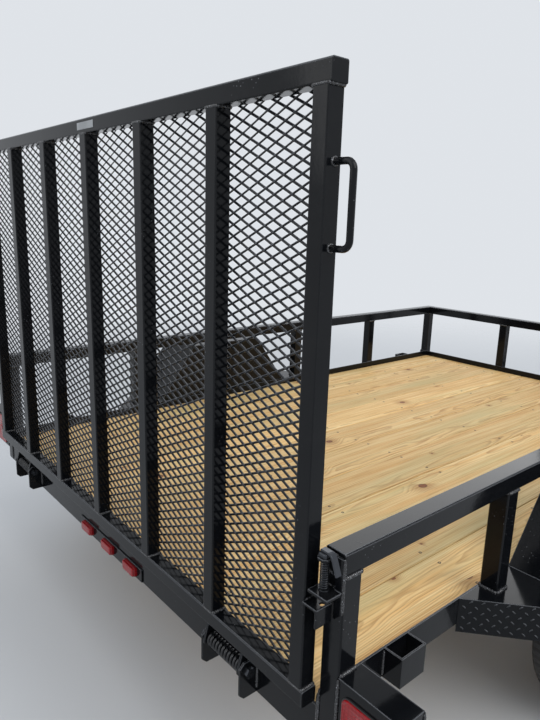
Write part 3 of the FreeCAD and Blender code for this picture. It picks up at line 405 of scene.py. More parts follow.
@dataclass(frozen=True)
class Lumber(Finish):
    """Pressure-treated pine: rings cut along the board, fibres, knots and a green cast."""

    late: Colour = (0.40, 0.185, 0.05)
    pale: Colour = (0.86, 0.63, 0.3)
    knot: Colour = (0.11, 0.038, 0.012)
    cast: Colour = (0.46, 0.42, 0.19)
    ring_width: float = 0.0062
    knot_spacing: tuple[float, float, float] = (1.9, 5.2, 5.2)
    knot_size: float = 0.016

    def make(self, graph: Graph) -> bpy.types.Material:
        """Build the wood.

        Args:
            graph: The material's empty tree.

        Returns:
            The material.
        """
        board = graph.attribute("board")
        shift = {axis: board * step for axis, step in enumerate((37.0, 11.0, 5.0))}
        local = graph.place() + graph.add("ShaderNodeCombineXYZ", {}, shift, flavour=Flavour.VECTOR)
        knot, rim, spread = self.knots(graph, local)

        slow = graph.noise(local * (1.1, 4.0, 4.0), 1.0, 3.0)
        ripple = graph.noise(local * (9.0, 22.0, 22.0), 1.0, 2.0)
        wander = (slow - 0.5) * 0.075 + (ripple - 0.5) * 0.0045 + spread * 0.016
        heart = (board * 91.7).maths("FRACT") - 0.5
        depth = (board * 53.3).maths("FRACT") * 0.09 + 0.025
        off = graph.attribute("across") - heart * 0.16
        radius = (off * off + depth * depth) ** 0.5 + wander
        ring = (radius / self.ring_width).maths("FRACT")
        late = ring.ramp(0.3, 0.88) * ring.ramp(1.0, 0.9)
        fibre = graph.noise(local * (4.0, 260.0, 260.0), 1.0, 3.0, 0.6)
        streak = graph.noise(local * (1.3, 60.0, 60.0), 1.0, 4.0, 0.6)
        pore = graph.noise(local * (24.0, 1500.0, 1500.0), 1.0, 2.0)
        patch = graph.noise(local * (0.8, 6.0, 6.0), 1.0, 2.0)

        colour = self.pale
        for tone, share in (
            (self.colour, streak.ramp(0.3, 0.7)),
            (self.late, late * 0.62 * streak.ramp(0.25, 0.7, 0.35, 1.0)),
            (shade(self.late, 0.72), fibre.ramp(0.5, 0.72) * 0.5),
            (self.cast, patch.ramp(0.48, 0.75) * 0.45),
            (self.late, patch.ramp(0.46, 0.25) * 0.22),
            (self.late, spread * spread * 0.6),
            (shade(self.knot, 2.2), knot),
            (self.knot, rim),
        ):
            colour = graph.mix(colour, tone, share)
        light = (board * 17.9).maths("FRACT") * 0.22 + 0.8
        return graph.surface({
            "Base Color": graph.mix((0.0, 0.0, 0.0), colour, light),
            "Roughness": self.roughness(fibre),
            "Normal": graph.bump(late * 0.6 + fibre * 0.35 + pore * 0.15 - knot * 0.3, 0.0007, 0.5),
            "Specular IOR Level": 0.3,
        })

    def knots(self, graph: Graph, local: Signal) -> tuple[Signal, Signal, Signal]:
        """Scatter knots over the boards.

        Args:
            graph: The material's tree.
            local: The point on its own board.

        Returns:
            The knots, their dark rims, and the wood that swerves round them.
        """
        spots = local * self.knot_spacing
        back = tuple(1.0 / spacing for spacing in self.knot_spacing)
        away = (graph.cells(spots, 1.0, "Position") * back - local) * (0.75, 1.0, 0.0)
        chance = graph.cells(spots, 1.0, "Color").part(0)
        near = away.length() / (chance.ramp(0.4, 1.0, 0.0, self.knot_size) + 0.0005)
        knot = near.ramp(0.75, 1.15, 1.0, 0.0) * chance.ramp(0.4, 0.5)
        spread = near.ramp(1.0, 6.0, 1.0, 0.0) * chance.ramp(0.4, 0.55)
        return knot, near.ramp(0.5, 1.0) * knot, spread


@dataclass(frozen=True)
class Rubber(Finish):
    """Tyre rubber with a dusty bloom and fine mould lines."""

    bloom: Colour = (0.06, 0.056, 0.05)

    def make(self, graph: Graph) -> bpy.types.Material:
        """Build the rubber.

        Args:
            graph: The material's empty tree.

        Returns:
            The material.
        """
        where = graph.place()
        cloud = graph.noise(where, 12.0, 5.0)
        dust = cloud.ramp(0.35, 0.75) * (graph.attribute("tread") * 0.5 + 0.2)
        return graph.surface({
            "Base Color": graph.mix(self.colour, self.bloom, dust),
            "Roughness": self.roughness(cloud),
            "Normal": graph.bump(graph.noise(where, 700.0, 3.0), 0.0003, 0.5),
        })


@dataclass(frozen=True)
class Metal(Finish):
    """Bare or zinc-plated steel with handling marks."""

    shine: float = 1.0

    def make(self, graph: Graph) -> bpy.types.Material:
        """Build the metal.

        Args:
            graph: The material's empty tree.

        Returns:
            The material.
        """
        where = graph.place()
        cloud = graph.noise(where, 22.0, 6.0, 0.65)
        scratch = graph.noise(where * (900.0, 60.0, 60.0), 1.0, 2.0)
        return graph.surface({
            "Base Color": graph.mix(self.colour, shade(self.colour, 0.55), cloud.ramp(0.4, 0.75)),
            "Metallic": self.shine,
            "Roughness": self.roughness(cloud, 0.75),
            "Normal": graph.bump(scratch, 0.0001, 0.35, graph.rounding(0.0006)),
        })


@dataclass(frozen=True)
class WheelPaint(Finish):
    """Silver wheel enamel with cloudy patches of brake dust."""

    dust: Colour = (0.26, 0.25, 0.235)

    def make(self, graph: Graph) -> bpy.types.Material:
        """Build the enamel.

        Args:
            graph: The material's empty tree.

        Returns:
            The material.
        """
        where = graph.place()
        cloud = graph.noise(where, 18.0, 5.0)
        flake = graph.noise(where, 900.0, 2.0)
        return graph.surface({
            "Base Color": graph.mix(self.colour, self.dust, cloud.ramp(0.5, 0.82) * 0.6),
            "Metallic": 0.45,
            "Roughness": self.roughness(cloud, 0.75),
            "Normal": graph.bump(flake, 0.0001, 0.25, graph.rounding(0.0012)),
            "Coat Weight": 0.3,
            "Coat Roughness": 0.12,
        })


@dataclass(frozen=True)
class Lens(Finish):
    """Moulded clear-coloured plastic over small prisms, which get a painted highlight."""

    prism: float = 0.0045

    def make(self, graph: Graph) -> bpy.types.Material:
        """Build the lens.

        Args:
            graph: The material's empty tree.

        Returns:
            The material.
        """
        where = graph.place()
        step = where * (1.0 / self.prism)
        prism = step.part(1).maths("PINGPONG", 1.0) * step.part(2).maths("PINGPONG", 1.0)
        # Painted highlight: the prisms are lightened as if catching light.
        painted_prism_highlight = tuple(min(1.0, 1.9 * c + 0.004) for c in self.colour)
        return graph.surface({
            "Base Color": graph.mix(self.colour, painted_prism_highlight, prism * 0.6),
            "Roughness": self.roughness(graph.noise(where, 40.0, 3.0)),
            "Normal": graph.bump(prism, 0.0007, 0.35),
            "Specular IOR Level": 0.25,
            "Coat Weight": 0.35,
            "Coat Roughness": 0.04,
        })


@dataclass(frozen=True)
class Studio(Finish):
    """Pale floor that keeps shadows near the trailer and fades into the backdrop further out."""

    fade_from: float = 3.0
    fade_to: float = 7.5

    def make(self, graph: Graph) -> bpy.types.Material:
        """Build the floor.

        Args:
            graph: The material's empty tree.

        Returns:
            The material.
        """
        where = graph.place()
        colour = graph.mix(self.colour, shade(self.colour, 0.97), graph.noise(where, 0.7, 2.0))
        sockets = {"Base Color": colour, "Roughness": 0.85, "Specular IOR Level": 0.2}
        floor = graph.add("ShaderNodeBsdfPrincipled", {}, sockets)
        clear = graph.add("ShaderNodeBsdfTransparent")
        far = where.length().ramp(self.fade_from, self.fade_to)
        return graph.close(graph.add("ShaderNodeMixShader", {}, {"Fac": far, 1: floor, 2: clear}))


BLACK = GlossPaint("gloss_black_paint", (0.0035, 0.004, 0.005), 0.09, 0.28)
BLACK_SATIN = GlossPaint("satin_black_paint", (0.009, 0.009, 0.01), 0.3, 0.55, spatter=0.2)
COIL_PAINT = GlossPaint("painted_coil", (0.005, 0.0055, 0.0065), 0.12, 0.24, spatter=0.0, edge=0.0, shine=0.5)
# The weld finish paints bright glints into its colour.
WELD = GlossPaint("painted_weld", (0.012, 0.012, 0.013), 0.1, 0.2, spatter=0.0, glints=0.8, edge=0.0,
                  shine=0.7)
WOOD = Lumber("treated_pine", (0.8, 0.475, 0.17), 0.55, 0.75)
RUBBER = Rubber("moulded_tyre_rubber", (0.014, 0.014, 0.015), 0.55, 0.78)
SILVER = WheelPaint("silver_wheel", (0.56, 0.57, 0.58), 0.24, 0.42)
ZINC = Metal("zinc_steel", (0.52, 0.52, 0.5), 0.3, 0.5)
DARK_STEEL = Metal("dark_screw", (0.05, 0.045, 0.04), 0.4, 0.6, shine=0.8)
LATCH_STEEL = Metal("dark_latch_steel", (0.06, 0.064, 0.072), 0.16, 0.32, shine=0.85)
JACK_ZINC = Metal("jack_zinc", (0.46, 0.47, 0.49), 0.28, 0.46, shine=0.9)
RED_LENS = Lens("moulded_red_lens", (0.21, 0.003, 0.005), 0.1, 0.2)
AMBER_LENS = Lens("moulded_amber_lens", (0.75, 0.2, 0.01), 0.08, 0.16)
PALE = Finish("blank_label_film", (0.3, 0.31, 0.315), 0.4, 0.55)
GRIP = Finish("black_plastic", (0.02, 0.02, 0.02), 0.35, 0.5)
FLOOR = Studio("studio_floor", (0.56, 0.565, 0.57))


# Mesh tools


@dataclass
class Shape:
    """Points and faces of one piece, gathered before it becomes an object."""

    points: list[tuple[float, float, float]] = field(default_factory=list)
    faces: list[tuple[int, ...]] = field(default_factory=list)
    smooth: list[bool] = field(default_factory=list)
    marks: dict[str, list[float]] = field(default_factory=dict)

    def add(self, points: Iterable[Point], faces: Iterable[Sequence[int]], smooth: bool = False,
            **marks: Union[float, Sequence[float]]) -> None:
        """Append points and faces.

        Args:
            points: New points, in metres.
            faces: Faces that index the new points.
            smooth: Whether they are shaded smooth.
            **marks: Numbers kept on every point, one for all or one each.
        """
        start = len(self.points)
        fresh = [tuple(p) for p in points]
        self.points.extend(fresh)
        for face in faces:
            self.faces.append(tuple(start + n for n in face))
            self.smooth.append(smooth)
        for name, value in marks.items():
            column = self.marks.setdefault(name, [0.0] * start)
            column.extend(value if isinstance(value, (list, tuple)) else [value] * len(fresh))

    def loft(self, rings: Sequence[Sequence[Point]], closed_ends: bool = True, smooth: bool = False,
             round_trip: bool = False, **marks: Union[float, Sequence[float]]) -> None:
        """Skin over rings of equally many points.

        Args:
            rings: The rings in order.
            closed_ends: Whether the first and last ring are filled.
            smooth: Whether the skin is shaded smooth.
            round_trip: Whether the last ring joins the first.
            **marks: Numbers kept on every point.
        """
        count = len(rings[0])
        faces: list[tuple[int, ...]] = []
        for r in range(len(rings) if round_trip else len(rings) - 1):
            here = r * count
            there = ((r + 1) % len(rings)) * count
            for k in range(count):
                nxt = (k + 1) % count
                faces.append((here + k, here + nxt, there + nxt, there + k))
        if closed_ends and not round_trip:
            faces.append(tuple(reversed(range(count))))
            faces.append(tuple((len(rings) - 1) * count + k for k in range(count)))
        self.add([p for ring in rings for p in ring], faces, smooth, **marks)

    def block(self, low: Point, high: Point, ease: float, steps: int = 2, sink: float = 0.7,
              **marks: Union[float, Sequence[float]]) -> None:
        """A bar along X with eased edges.

        Args:
            low: Its lowest corner.
            high: Its highest corner.
            ease: How far the edges are eased.
            steps: Facets over one eased edge.
            sink: How far the end faces draw in, as a share of the easing.
            **marks: Numbers kept on every point.
        """
        middle = Vector((0, (low[1] + high[1]) / 2, (low[2] + high[2]) / 2))
        ring = rounded_section(high[1] - low[1], high[2] - low[2], ease, steps)
        pull = ease * sink
        ends = []
        for x, drawn in ((low[0], pull), (low[0] + ease, 0.0), (high[0] - ease, 0.0), (high[0], pull)):
            ends.append([middle + Vector((x, a - math.copysign(drawn, a), b - math.copysign(drawn, b)))
                         for a, b in ring])
        self.loft(ends, **marks)

    def sweep(self, path: Sequence[Vector], radius: Union[float, Sequence[float]], sides: int,
              up: Optional[Vector] = None) -> None:
        """Round bar along a path, shaded smooth.

        Args:
            path: Points along the middle.
            radius: One radius, or one for each point.
            sides: Points around.
            up: A direction that the section keeps to, for paths that lie in a plane.
        """
        rings = []
        side = None
        for n, point in enumerate(path):
            ahead = (path[min(n + 1, len(path) - 1)] - path[max(n - 1, 0)]).normalized()
            if up is not None:
                side = ahead.cross(up).normalized()
            elif side is None:
                side = ahead.orthogonal().normalized()
            else:
                side = (side - ahead * side.dot(ahead)).normalized()
            r = radius if isinstance(radius, float) else radius[n]
            rings.append(circle(point, side, side.cross(ahead).normalized(), r, sides))
        self.loft(rings, True, True)

    def lathe(self, outline: Sequence[tuple[float, float]], centre: Vector, axis: Vector, turns: int,
              smooth: bool = True) -> None:
        """Turned piece.

        Args:
            outline: (radius, distance along the axis) points, closed if the first equals the last.
            centre: Where distance 0 lies.
            axis: Direction of the axis.
            turns: Points around.
            smooth: Whether it is shaded smooth.
        """
        along = axis.normalized()
        u = along.orthogonal().normalized()
        v = along.cross(u)
        closed = outline[0] == outline[-1]
        rings = [circle(centre + along * d, u, v, max(r, 1e-5), turns)
                 for r, d in (outline[:-1] if closed else outline)]
        self.loft(rings, not closed, smooth, closed)

    def piece(self, name: str, finish: Finish, body: str, slot: Slot,
              replaces: Sequence[str] = ()) -> bpy.types.Object:
        """Turn the shape into an object that rides on a body.

        Args:
            name: The object's name.
            finish: Its finish.
            body: The CAD body that it rides on.
            slot: Not used.
            replaces: CAD nodes that it stands for.

        Returns:
            The new object.
        """
        mesh = bpy.data.meshes.new(name)
        mesh.from_pydata(self.points, [], self.faces)
        mesh.polygons.foreach_set("use_smooth", self.smooth)
        for mark, column in self.marks.items():
            mesh.attributes.new(mark, "FLOAT", "POINT").data.foreach_set("value", column)
        mesh.materials.append(finish.build())
        mesh.validate()
        piece = bpy.data.objects.new(name, mesh)
        bpy.context.scene.collection.objects.link(piece)
        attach(piece, body)
        if replaces:
            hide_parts(*replaces)
        LOG.info("%s: %d faces on %s", name, len(self.faces), body)
        return piece


def circle(centre: Vector, u: Vector, v: Vector, radius: float, count: int) -> list[Vector]:
    """Points round a centre, in the plane of two directions."""
    angles = (2 * math.pi * k / count for k in range(count))
    return [centre + u * (radius * math.cos(a)) + v * (radius * math.sin(a)) for a in angles]


def rounded_section(wide: float, tall: float, corner: float, steps: int) -> list[tuple[float, float]]:
    """Outline of a rectangle with round corners, centred on 0.

    Args:
        wide: Its width.
        tall: Its height.
        corner: Radius of its corners.
        steps: Facets over one corner.

    Returns:
        (across, up) points.
    """
    ring = []
    for quarter, (right, upper) in enumerate(((1, 1), (-1, 1), (-1, -1), (1, -1))):
        for k in range(steps + 1):
            a = (quarter + k / steps) * math.pi / 2
            ring.append((right * (wide / 2 - corner) + corner * math.cos(a),
                         upper * (tall / 2 - corner) + corner * math.sin(a)))
    return ring


def rounded_ring(centre: Vector, along: Vector, up: Vector, section: Sequence[float],
                 steps: int) -> list[Vector]:
    """A rectangle with round corners, set into space.

    Args:
        centre: Its middle.
        along: Direction of its width.
        up: Direction of its height.
        section: Its width, height and corner radius.
        steps: Facets over one corner.

    Returns:
        Its points.
    """
    return [centre + along * a + up * b for a, b in rounded_section(*section, steps)]


def solids(node: str) -> list[tuple[Vector, Vector]]:
    """Find the separate solids of a CAD node.

    Args:
        node: The node's name.

    Returns:
        Their lowest and highest corners, in order along X, then Y, then Z.
    """
    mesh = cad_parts[node].data
    owner: dict[tuple, tuple] = {}

    def root(key: tuple) -> tuple:
        """Follow a point to the one that stands for its solid.

        Args:
            key: The point.

        Returns:
            That one.
        """
        while owner[key] != key:
            owner[key] = owner[owner[key]]
            key = owner[key]
        return key

    keys = [tuple(round(c * 20000) for c in vertex.co) for vertex in mesh.vertices]
    for key in keys:
        owner.setdefault(key, key)
    for polygon in mesh.polygons:
        first = root(keys[polygon.vertices[0]])
        for index in polygon.vertices[1:]:
            owner[root(keys[index])] = first
    groups: dict[tuple, list[Vector]] = {}
    for key, vertex in zip(keys, mesh.vertices):
        groups.setdefault(root(key), []).append(vertex.co)
    boxes = [tuple(Vector([pick(p[k] for p in members) for k in range(3)]) for pick in (min, max))
             for members in groups.values()]
    return sorted(boxes, key=lambda box: tuple(round(c, 3) for c in box[0]))


def corners(node: str) -> tuple[Vector, Vector]:
    """A node's lowest and highest corners."""
    low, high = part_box(node)
    return Vector(low), Vector(high)


def flanks(low: Vector, high: Vector) -> tuple[float, float, float]:
    """The inner side of a box, its outer side, and the sign of its side of the trailer."""
    return (low.y, high.y, 1.0) if low.y + high.y > 0 else (high.y, low.y, -1.0)


# Sub-assemblies


@dataclass
class Deck:
    """Deck boards with eased edges, and screws over every crossmember."""

    ease: float = 0.0035
    ease_steps: int = 3
    sink: float = 0.6
    screw_radius: float = 0.0052
    screw_outline: tuple[tuple[float, float], ...] = ((0.0, -0.001), (0.38, -0.001), (0.5, 0.0004),
                                                      (0.9, 0.0006), (1.0, 0.0001), (1.0, -0.003),
                                                      (0.0, -0.003))
    screw_turns: int = 12
    screw_inset: float = 0.032
    screw_line: float = 0.028
    scatter: float = 0.005
    seed: int = 7

    def build(self) -> None:
        """Build the boards and their screws."""
        draw = random.Random(self.seed)
        lines = [low.x + self.screw_line for low, _ in solids("crossmembers")]
        wood = Shape()
        screws = Shape()
        for low, high in solids("deck_boards"):
            ring = rounded_section(high.y - low.y, high.z - low.z, self.ease, self.ease_steps)
            across = [a for a, _ in ring] * 4
            wood.block(low, high, self.ease, self.ease_steps, self.sink, board=draw.random(), across=across)
            for x in lines:
                for y in (low.y + self.screw_inset, high.y - self.screw_inset):
                    x_off = draw.uniform(-self.scatter, self.scatter)
                    y_off = draw.uniform(-self.scatter, self.scatter)
                    self.screw(screws, Vector((x + x_off, y + y_off, high.z)))
        wood.piece("deck_boards_sawn", WOOD, "chassis", Slot.WOOD, ["deck_boards"])
        screws.piece("deck_screws", DARK_STEEL, "chassis", Slot.STEEL)

    def screw(self, shape: Shape, spot: Vector) -> None:
        """A countersunk head, just proud, with its driver recess."""
        outline = [(self.screw_radius * share, height) for share, height in self.screw_outline]
        shape.lathe(outline, spot, UP, self.screw_turns)


@dataclass
class GateMesh:
    """Expanded steel: slanted strands that meet in rows of diamonds."""

    long_way: float = 0.0508
    short_way: float = 0.0234
    strand: float = 0.0052
    sheet: float = 0.002
    slant: float = math.radians(32)
    lap: float = 0.42

    def build(self) -> None:
        """Lay the strands over the whole gate."""
        low, high = corners("gate_mesh")
        shape = Shape()
        columns = int((high.y - low.y) / (self.long_way / 2))
        rows = int((high.z - low.z) / (self.short_way / 2))
        step_y = (high.y - low.y) / columns
        step_z = (high.z - low.z) / rows
        x = (low.x + high.x) / 2
        for i in range(columns):
            for j in range(i % 2, rows + 1, 2):
                start = Vector((x, low.y + i * step_y, low.z + j * step_z))
                for rise in (1, -1):
                    if 0 <= j + rise <= rows:
                        self.strand_bar(shape, start, start + Vector((0, step_y, rise * step_z)))
        shape.piece("gate_expanded_mesh", BLACK, "gate", Slot.PAINT, ["gate_mesh"])

    def strand_bar(self, shape: Shape, start: Vector, end: Vector) -> None:
        """One strand.

        Args:
            shape: Where it goes.
            start: The knuckle that it leaves.
            end: The knuckle that it reaches.
        """
        run = (end - start).normalized()
        reach = run * (self.strand * self.lap)
        flat = Vector((0, -run.z, run.y))
        wide = (flat * math.cos(self.slant) + FORWARD * math.sin(self.slant)) * (self.strand / 2)
        thin = (FORWARD * math.cos(self.slant) - flat * math.sin(self.slant)) * (self.sheet / 2)
        shape.loft([[p + wide + thin, p - wide + thin, p - wide - thin, p + wide - thin]
                    for p in (start - reach, end + reach)])


@dataclass
class Welds:
    """Rippled beads where tubes and plates meet."""

    leg: float = 0.0044
    strong: float = 0.0054
    fine: float = 0.003
    latch_leg: float = 0.0042
    box_leg: float = 0.0034
    ripple: float = 0.0046
    sides: int = 7
    rail_tube: float = 0.0508
    gate_tube: float = 0.0381
    plate: float = 0.00635
    strip: float = 0.017
    lug_drop: float = 0.0767
    tab: float = 0.0048
    inset: float = 0.004
    pocket_inset: float = 0.006
    ear_insets: tuple[float, float] = (0.012, 0.016)
    rounding: float = 0.003
    lug_reach: float = 0.008
    draw: random.Random = field(default_factory=lambda: random.Random(11))
    shape: Shape = field(default_factory=Shape)

    def build(self) -> None:
        """Lay every bead."""
        chassis = (self.upright_welds, self.underside_welds, self.latch_welds, self.light_box_welds)
        for name, body, seams in (("frame", "chassis", chassis), ("gate", "gate", (self.gate_welds,))):
            self.shape = Shape()
            for seam in seams:
                seam()
            self.shape.piece(f"{name}_weld_beads", WELD, body, Slot.PAINT)

    def lay(self, at: Callable[[float], Vector], length: float, leg: float, tapers: bool) -> None:
        """Lay one bead.

        Args:
            at: Its middle, from its start at 0 to its end at 1.
            length: Its length.
            leg: Its radius.
            tapers: Whether its ends thin out.
        """
        count = max(6, int(length / self.ripple) * 4)
        path, radii = [], []
        phase = self.draw.random()
        for n in range(count + 1):
            share = n / count
            wave = (length * share / self.ripple + phase) % 1.0
            swell = 1.0 + self.draw.uniform(-0.07, 0.07)
            ends = min(1.0, 0.55 + 6 * min(share, 1 - share)) if tapers else 1.0
            path.append(at(share))
            radii.append(leg * swell * ends * (0.84 + 0.3 * math.sqrt(wave)))
        self.shape.sweep(path, radii, self.sides)

    def seam(self, x: Span, y: Span, z: Span, leg: Optional[float] = None) -> None:
        """Lay a straight bead.

        Args:
            x: Its place along X. One of the three is a pair, from where it starts to where it ends.
            y: Its place along Y.
            z: Its height.
            leg: Its radius, if not the usual one.
        """
        first, last = (Vector([v[end] if isinstance(v, tuple) else v for v in (x, y, z)])
                       for end in (0, 1))
        self.lay(lambda share: first.lerp(last, share), (last - first).length, leg or self.leg, True)

    def collar(self, centre: Vector, radius: float) -> None:
        """Lay a bead round a rod that stands out along Y.

        Args:
            centre: Where the rod meets its post.
            radius: The rod's radius.
        """
        def at(share: float) -> Vector:
            """A place on the circle."""
            angle = 2 * math.pi * share
            return centre + Vector((radius * math.cos(angle), 0.0, radius * math.sin(angle)))

        self.lay(at, 2 * math.pi * radius, self.fine, False)

    def around(self, low: Vector, high: Vector, z: float, sides: str = "xXyY",
               leg: Optional[float] = None) -> None:
        """Lay beads round a tube at one height.

        Args:
            low: The tube's lowest corner.
            high: Its highest corner.
            z: The height.
            sides: The welded sides; capitals stand for the far ones.
            leg: The beads' radius, if not the usual one.
        """
        table = {"x": (low.x, (low.y, high.y)), "X": (high.x, (low.y, high.y)),
                 "y": ((low.x, high.x), low.y), "Y": ((low.x, high.x), high.y)}
        for side in sides:
            self.seam(*table[side], z, leg)

    def upright_welds(self) -> None:
        """Heads of the uprights, and their feet on a fender, a side rail or the front header."""
        rail_foot = corners("top_rails_side")[0].z
        side = corners("side_rails")[1]
        header = corners("front_header")[1]
        for low, high in solids("uprights"):
            inner = flanks(low, high)[0]
            rise = (side.z - self.inset, low.z + self.inset)
            self.around(low, high, rail_foot)
            if low.z > side.z - 0.002:
                self.around(low, high, low.z + 0.001, leg=self.strong)
            elif abs(inner) > side.y - 0.001 and low.x < header.x - 0.01:
                self.seam(low.x, inner, rise)
                self.seam(high.x, inner, rise)
                self.seam((low.x, high.x), inner, side.z)
            else:
                for y in (low.y, high.y):
                    if abs(y) < header.y + 0.001:
                        self.seam(header.x, y, rise)

    def underside_welds(self) -> None:
        """Crossmembers, hinge ears, stake pockets and spring hangers."""
        side_low, side_high = corners("side_rails")
        sill = corners("rear_sill")[0].x
        for low, high in solids("crossmembers"):
            for y in (side_low.y + self.rail_tube, side_high.y - self.rail_tube):
                self.seam((low.x, high.x), y, high.z - 0.005)
        for low, high in solids("frame_ears"):
            for y in (low.y, high.y):
                self.seam(sill, y, (low.z + self.ear_insets[0], high.z - self.ear_insets[1]))
        for low, high in solids("stake_pockets"):
            for x in (low.x, high.x):
                rise = (low.z + self.pocket_inset, high.z - self.pocket_inset)
                self.seam(x, flanks(low, high)[0], rise)
        for low, high in solids("spring_hangers"):
            for y in (low.y, high.y):
                self.seam((low.x + self.inset, high.x - self.inset), y, high.z)

    def latch_welds(self) -> None:
        """Back strip and both lugs of each latch on the rear upright."""
        for low, high in solids("latch_brackets"):
            inner, outer, out = flanks(low, high)
            edge = outer - out * self.strip
            lug = high.z - self.lug_drop
            self.seam(high.x, outer, (low.z, high.z), self.latch_leg)
            self.seam(high.x, edge, (low.z + 0.002, lug), self.fine)
            for reach, face in ((self.rounding, lug), (self.rounding, lug + self.plate),
                                (self.lug_reach, high.z), (self.lug_reach, high.z - self.plate)):
                self.seam(high.x, (inner + out * reach, edge), face, self.fine)

    def light_box_welds(self) -> None:
        """The lamp boxes on the rear uprights, and each box's own outer front corner."""
        post_low, post_high = solids("uprights")[0]
        for low, high in solids("light_boxes"):
            inner, outer, _ = flanks(low, high)
            self.seam((low.x + self.rounding, post_high.x), inner, high.z, self.strong)
            for x in (post_low.x, post_high.x):
                self.seam(x, inner, (high.z - self.inset, low.z + self.pocket_inset))
            self.seam(high.x, outer, (high.z - self.inset, low.z + self.inset), self.box_leg)

    def gate_welds(self) -> None:
        """Bars and posts between the rails, hinge ears, handles and latch tabs."""
        rail_low, rail_high = corners("gate_rails")
        top, foot = rail_high.z - self.gate_tube, rail_low.z + self.gate_tube
        for low, high in solids("gate_bars") + solids("gate_posts"):
            for z, leg in ((top, self.leg), (foot, self.strong)):
                self.around(low, high, z, "yY", leg)
                self.seam(low.x + 0.001, (low.y, high.y), z, self.fine)
        for low, high in solids("gate_ears"):
            for y in (low.y, high.y):
                self.seam((rail_low.x + self.rounding, high.x - self.rounding), y, rail_low.z)
        post = corners("gate_posts")[1].y
        for low, high in solids("gate_handles"):
            rod = (high.x - low.x) / 2
            for z in (low.z + rod, high.z - rod):
                self.collar(Vector((low.x + rod, math.copysign(post, low.y), z)), rod)
        for low, high in solids("latch_tabs"):
            for z in (high.z, high.z - self.tab):
                run = (rail_low.x + self.rounding, high.x - 0.002)
                self.seam(run, math.copysign(post, low.y), z, self.fine)


@dataclass
class HingeSprings:
    """Lift springs on the gate's hinge pins: close end turns and a leg up to the bottom rail."""

    wire: float = 0.0082
    open_turns: int = 9
    steps: int = 26
    sides: int = 10
    close_pitch: float = 1.03
    tail: float = 0.6

    def build(self) -> None:
        """Wind both springs."""
        shape = Shape()
        rail_foot = corners("gate_rails")[0].z
        for low, high in solids("hinge_springs"):
            middle = (low + high) / 2
            reach = (high.z - low.z - self.wire) / 2
            inner, outer, out = flanks(low, high)
            length = abs(outer - inner) - self.wire
            path = []
            for n in range((self.open_turns + 2) * self.steps + 1):
                angle = 2 * math.pi * n / self.steps
                y = inner + out * (self.wire / 2 + self.reached(n / self.steps, length))
                x, z = middle.x + reach * math.cos(angle), middle.z + reach * math.sin(angle)
                path.append(Vector((x, y, z)))
            path.append(path[-1] + UP * (reach * self.tail))
            path.append(Vector((path[-1].x, path[-1].y, rail_foot + 0.001)))
            shape.sweep(path, self.wire / 2, self.sides)
        shape.piece("hinge_spring_coils", COIL_PAINT, "gate", Slot.PAINT, ["hinge_springs"])

    def reached(self, turn: float, length: float) -> float:
        """Work out how far the wire has come along the pin.

        Args:
            turn: Turns so far; the first and the last are close.
            length: The spring's length between wire middles.

        Returns:
            The distance.
        """
        close = self.wire * self.close_pitch
        wide = (length - 2 * close) / self.open_turns
        spread = min(max(turn - 1.0, 0.0), self.open_turns)
        return (turn - spread) * close + spread * wide


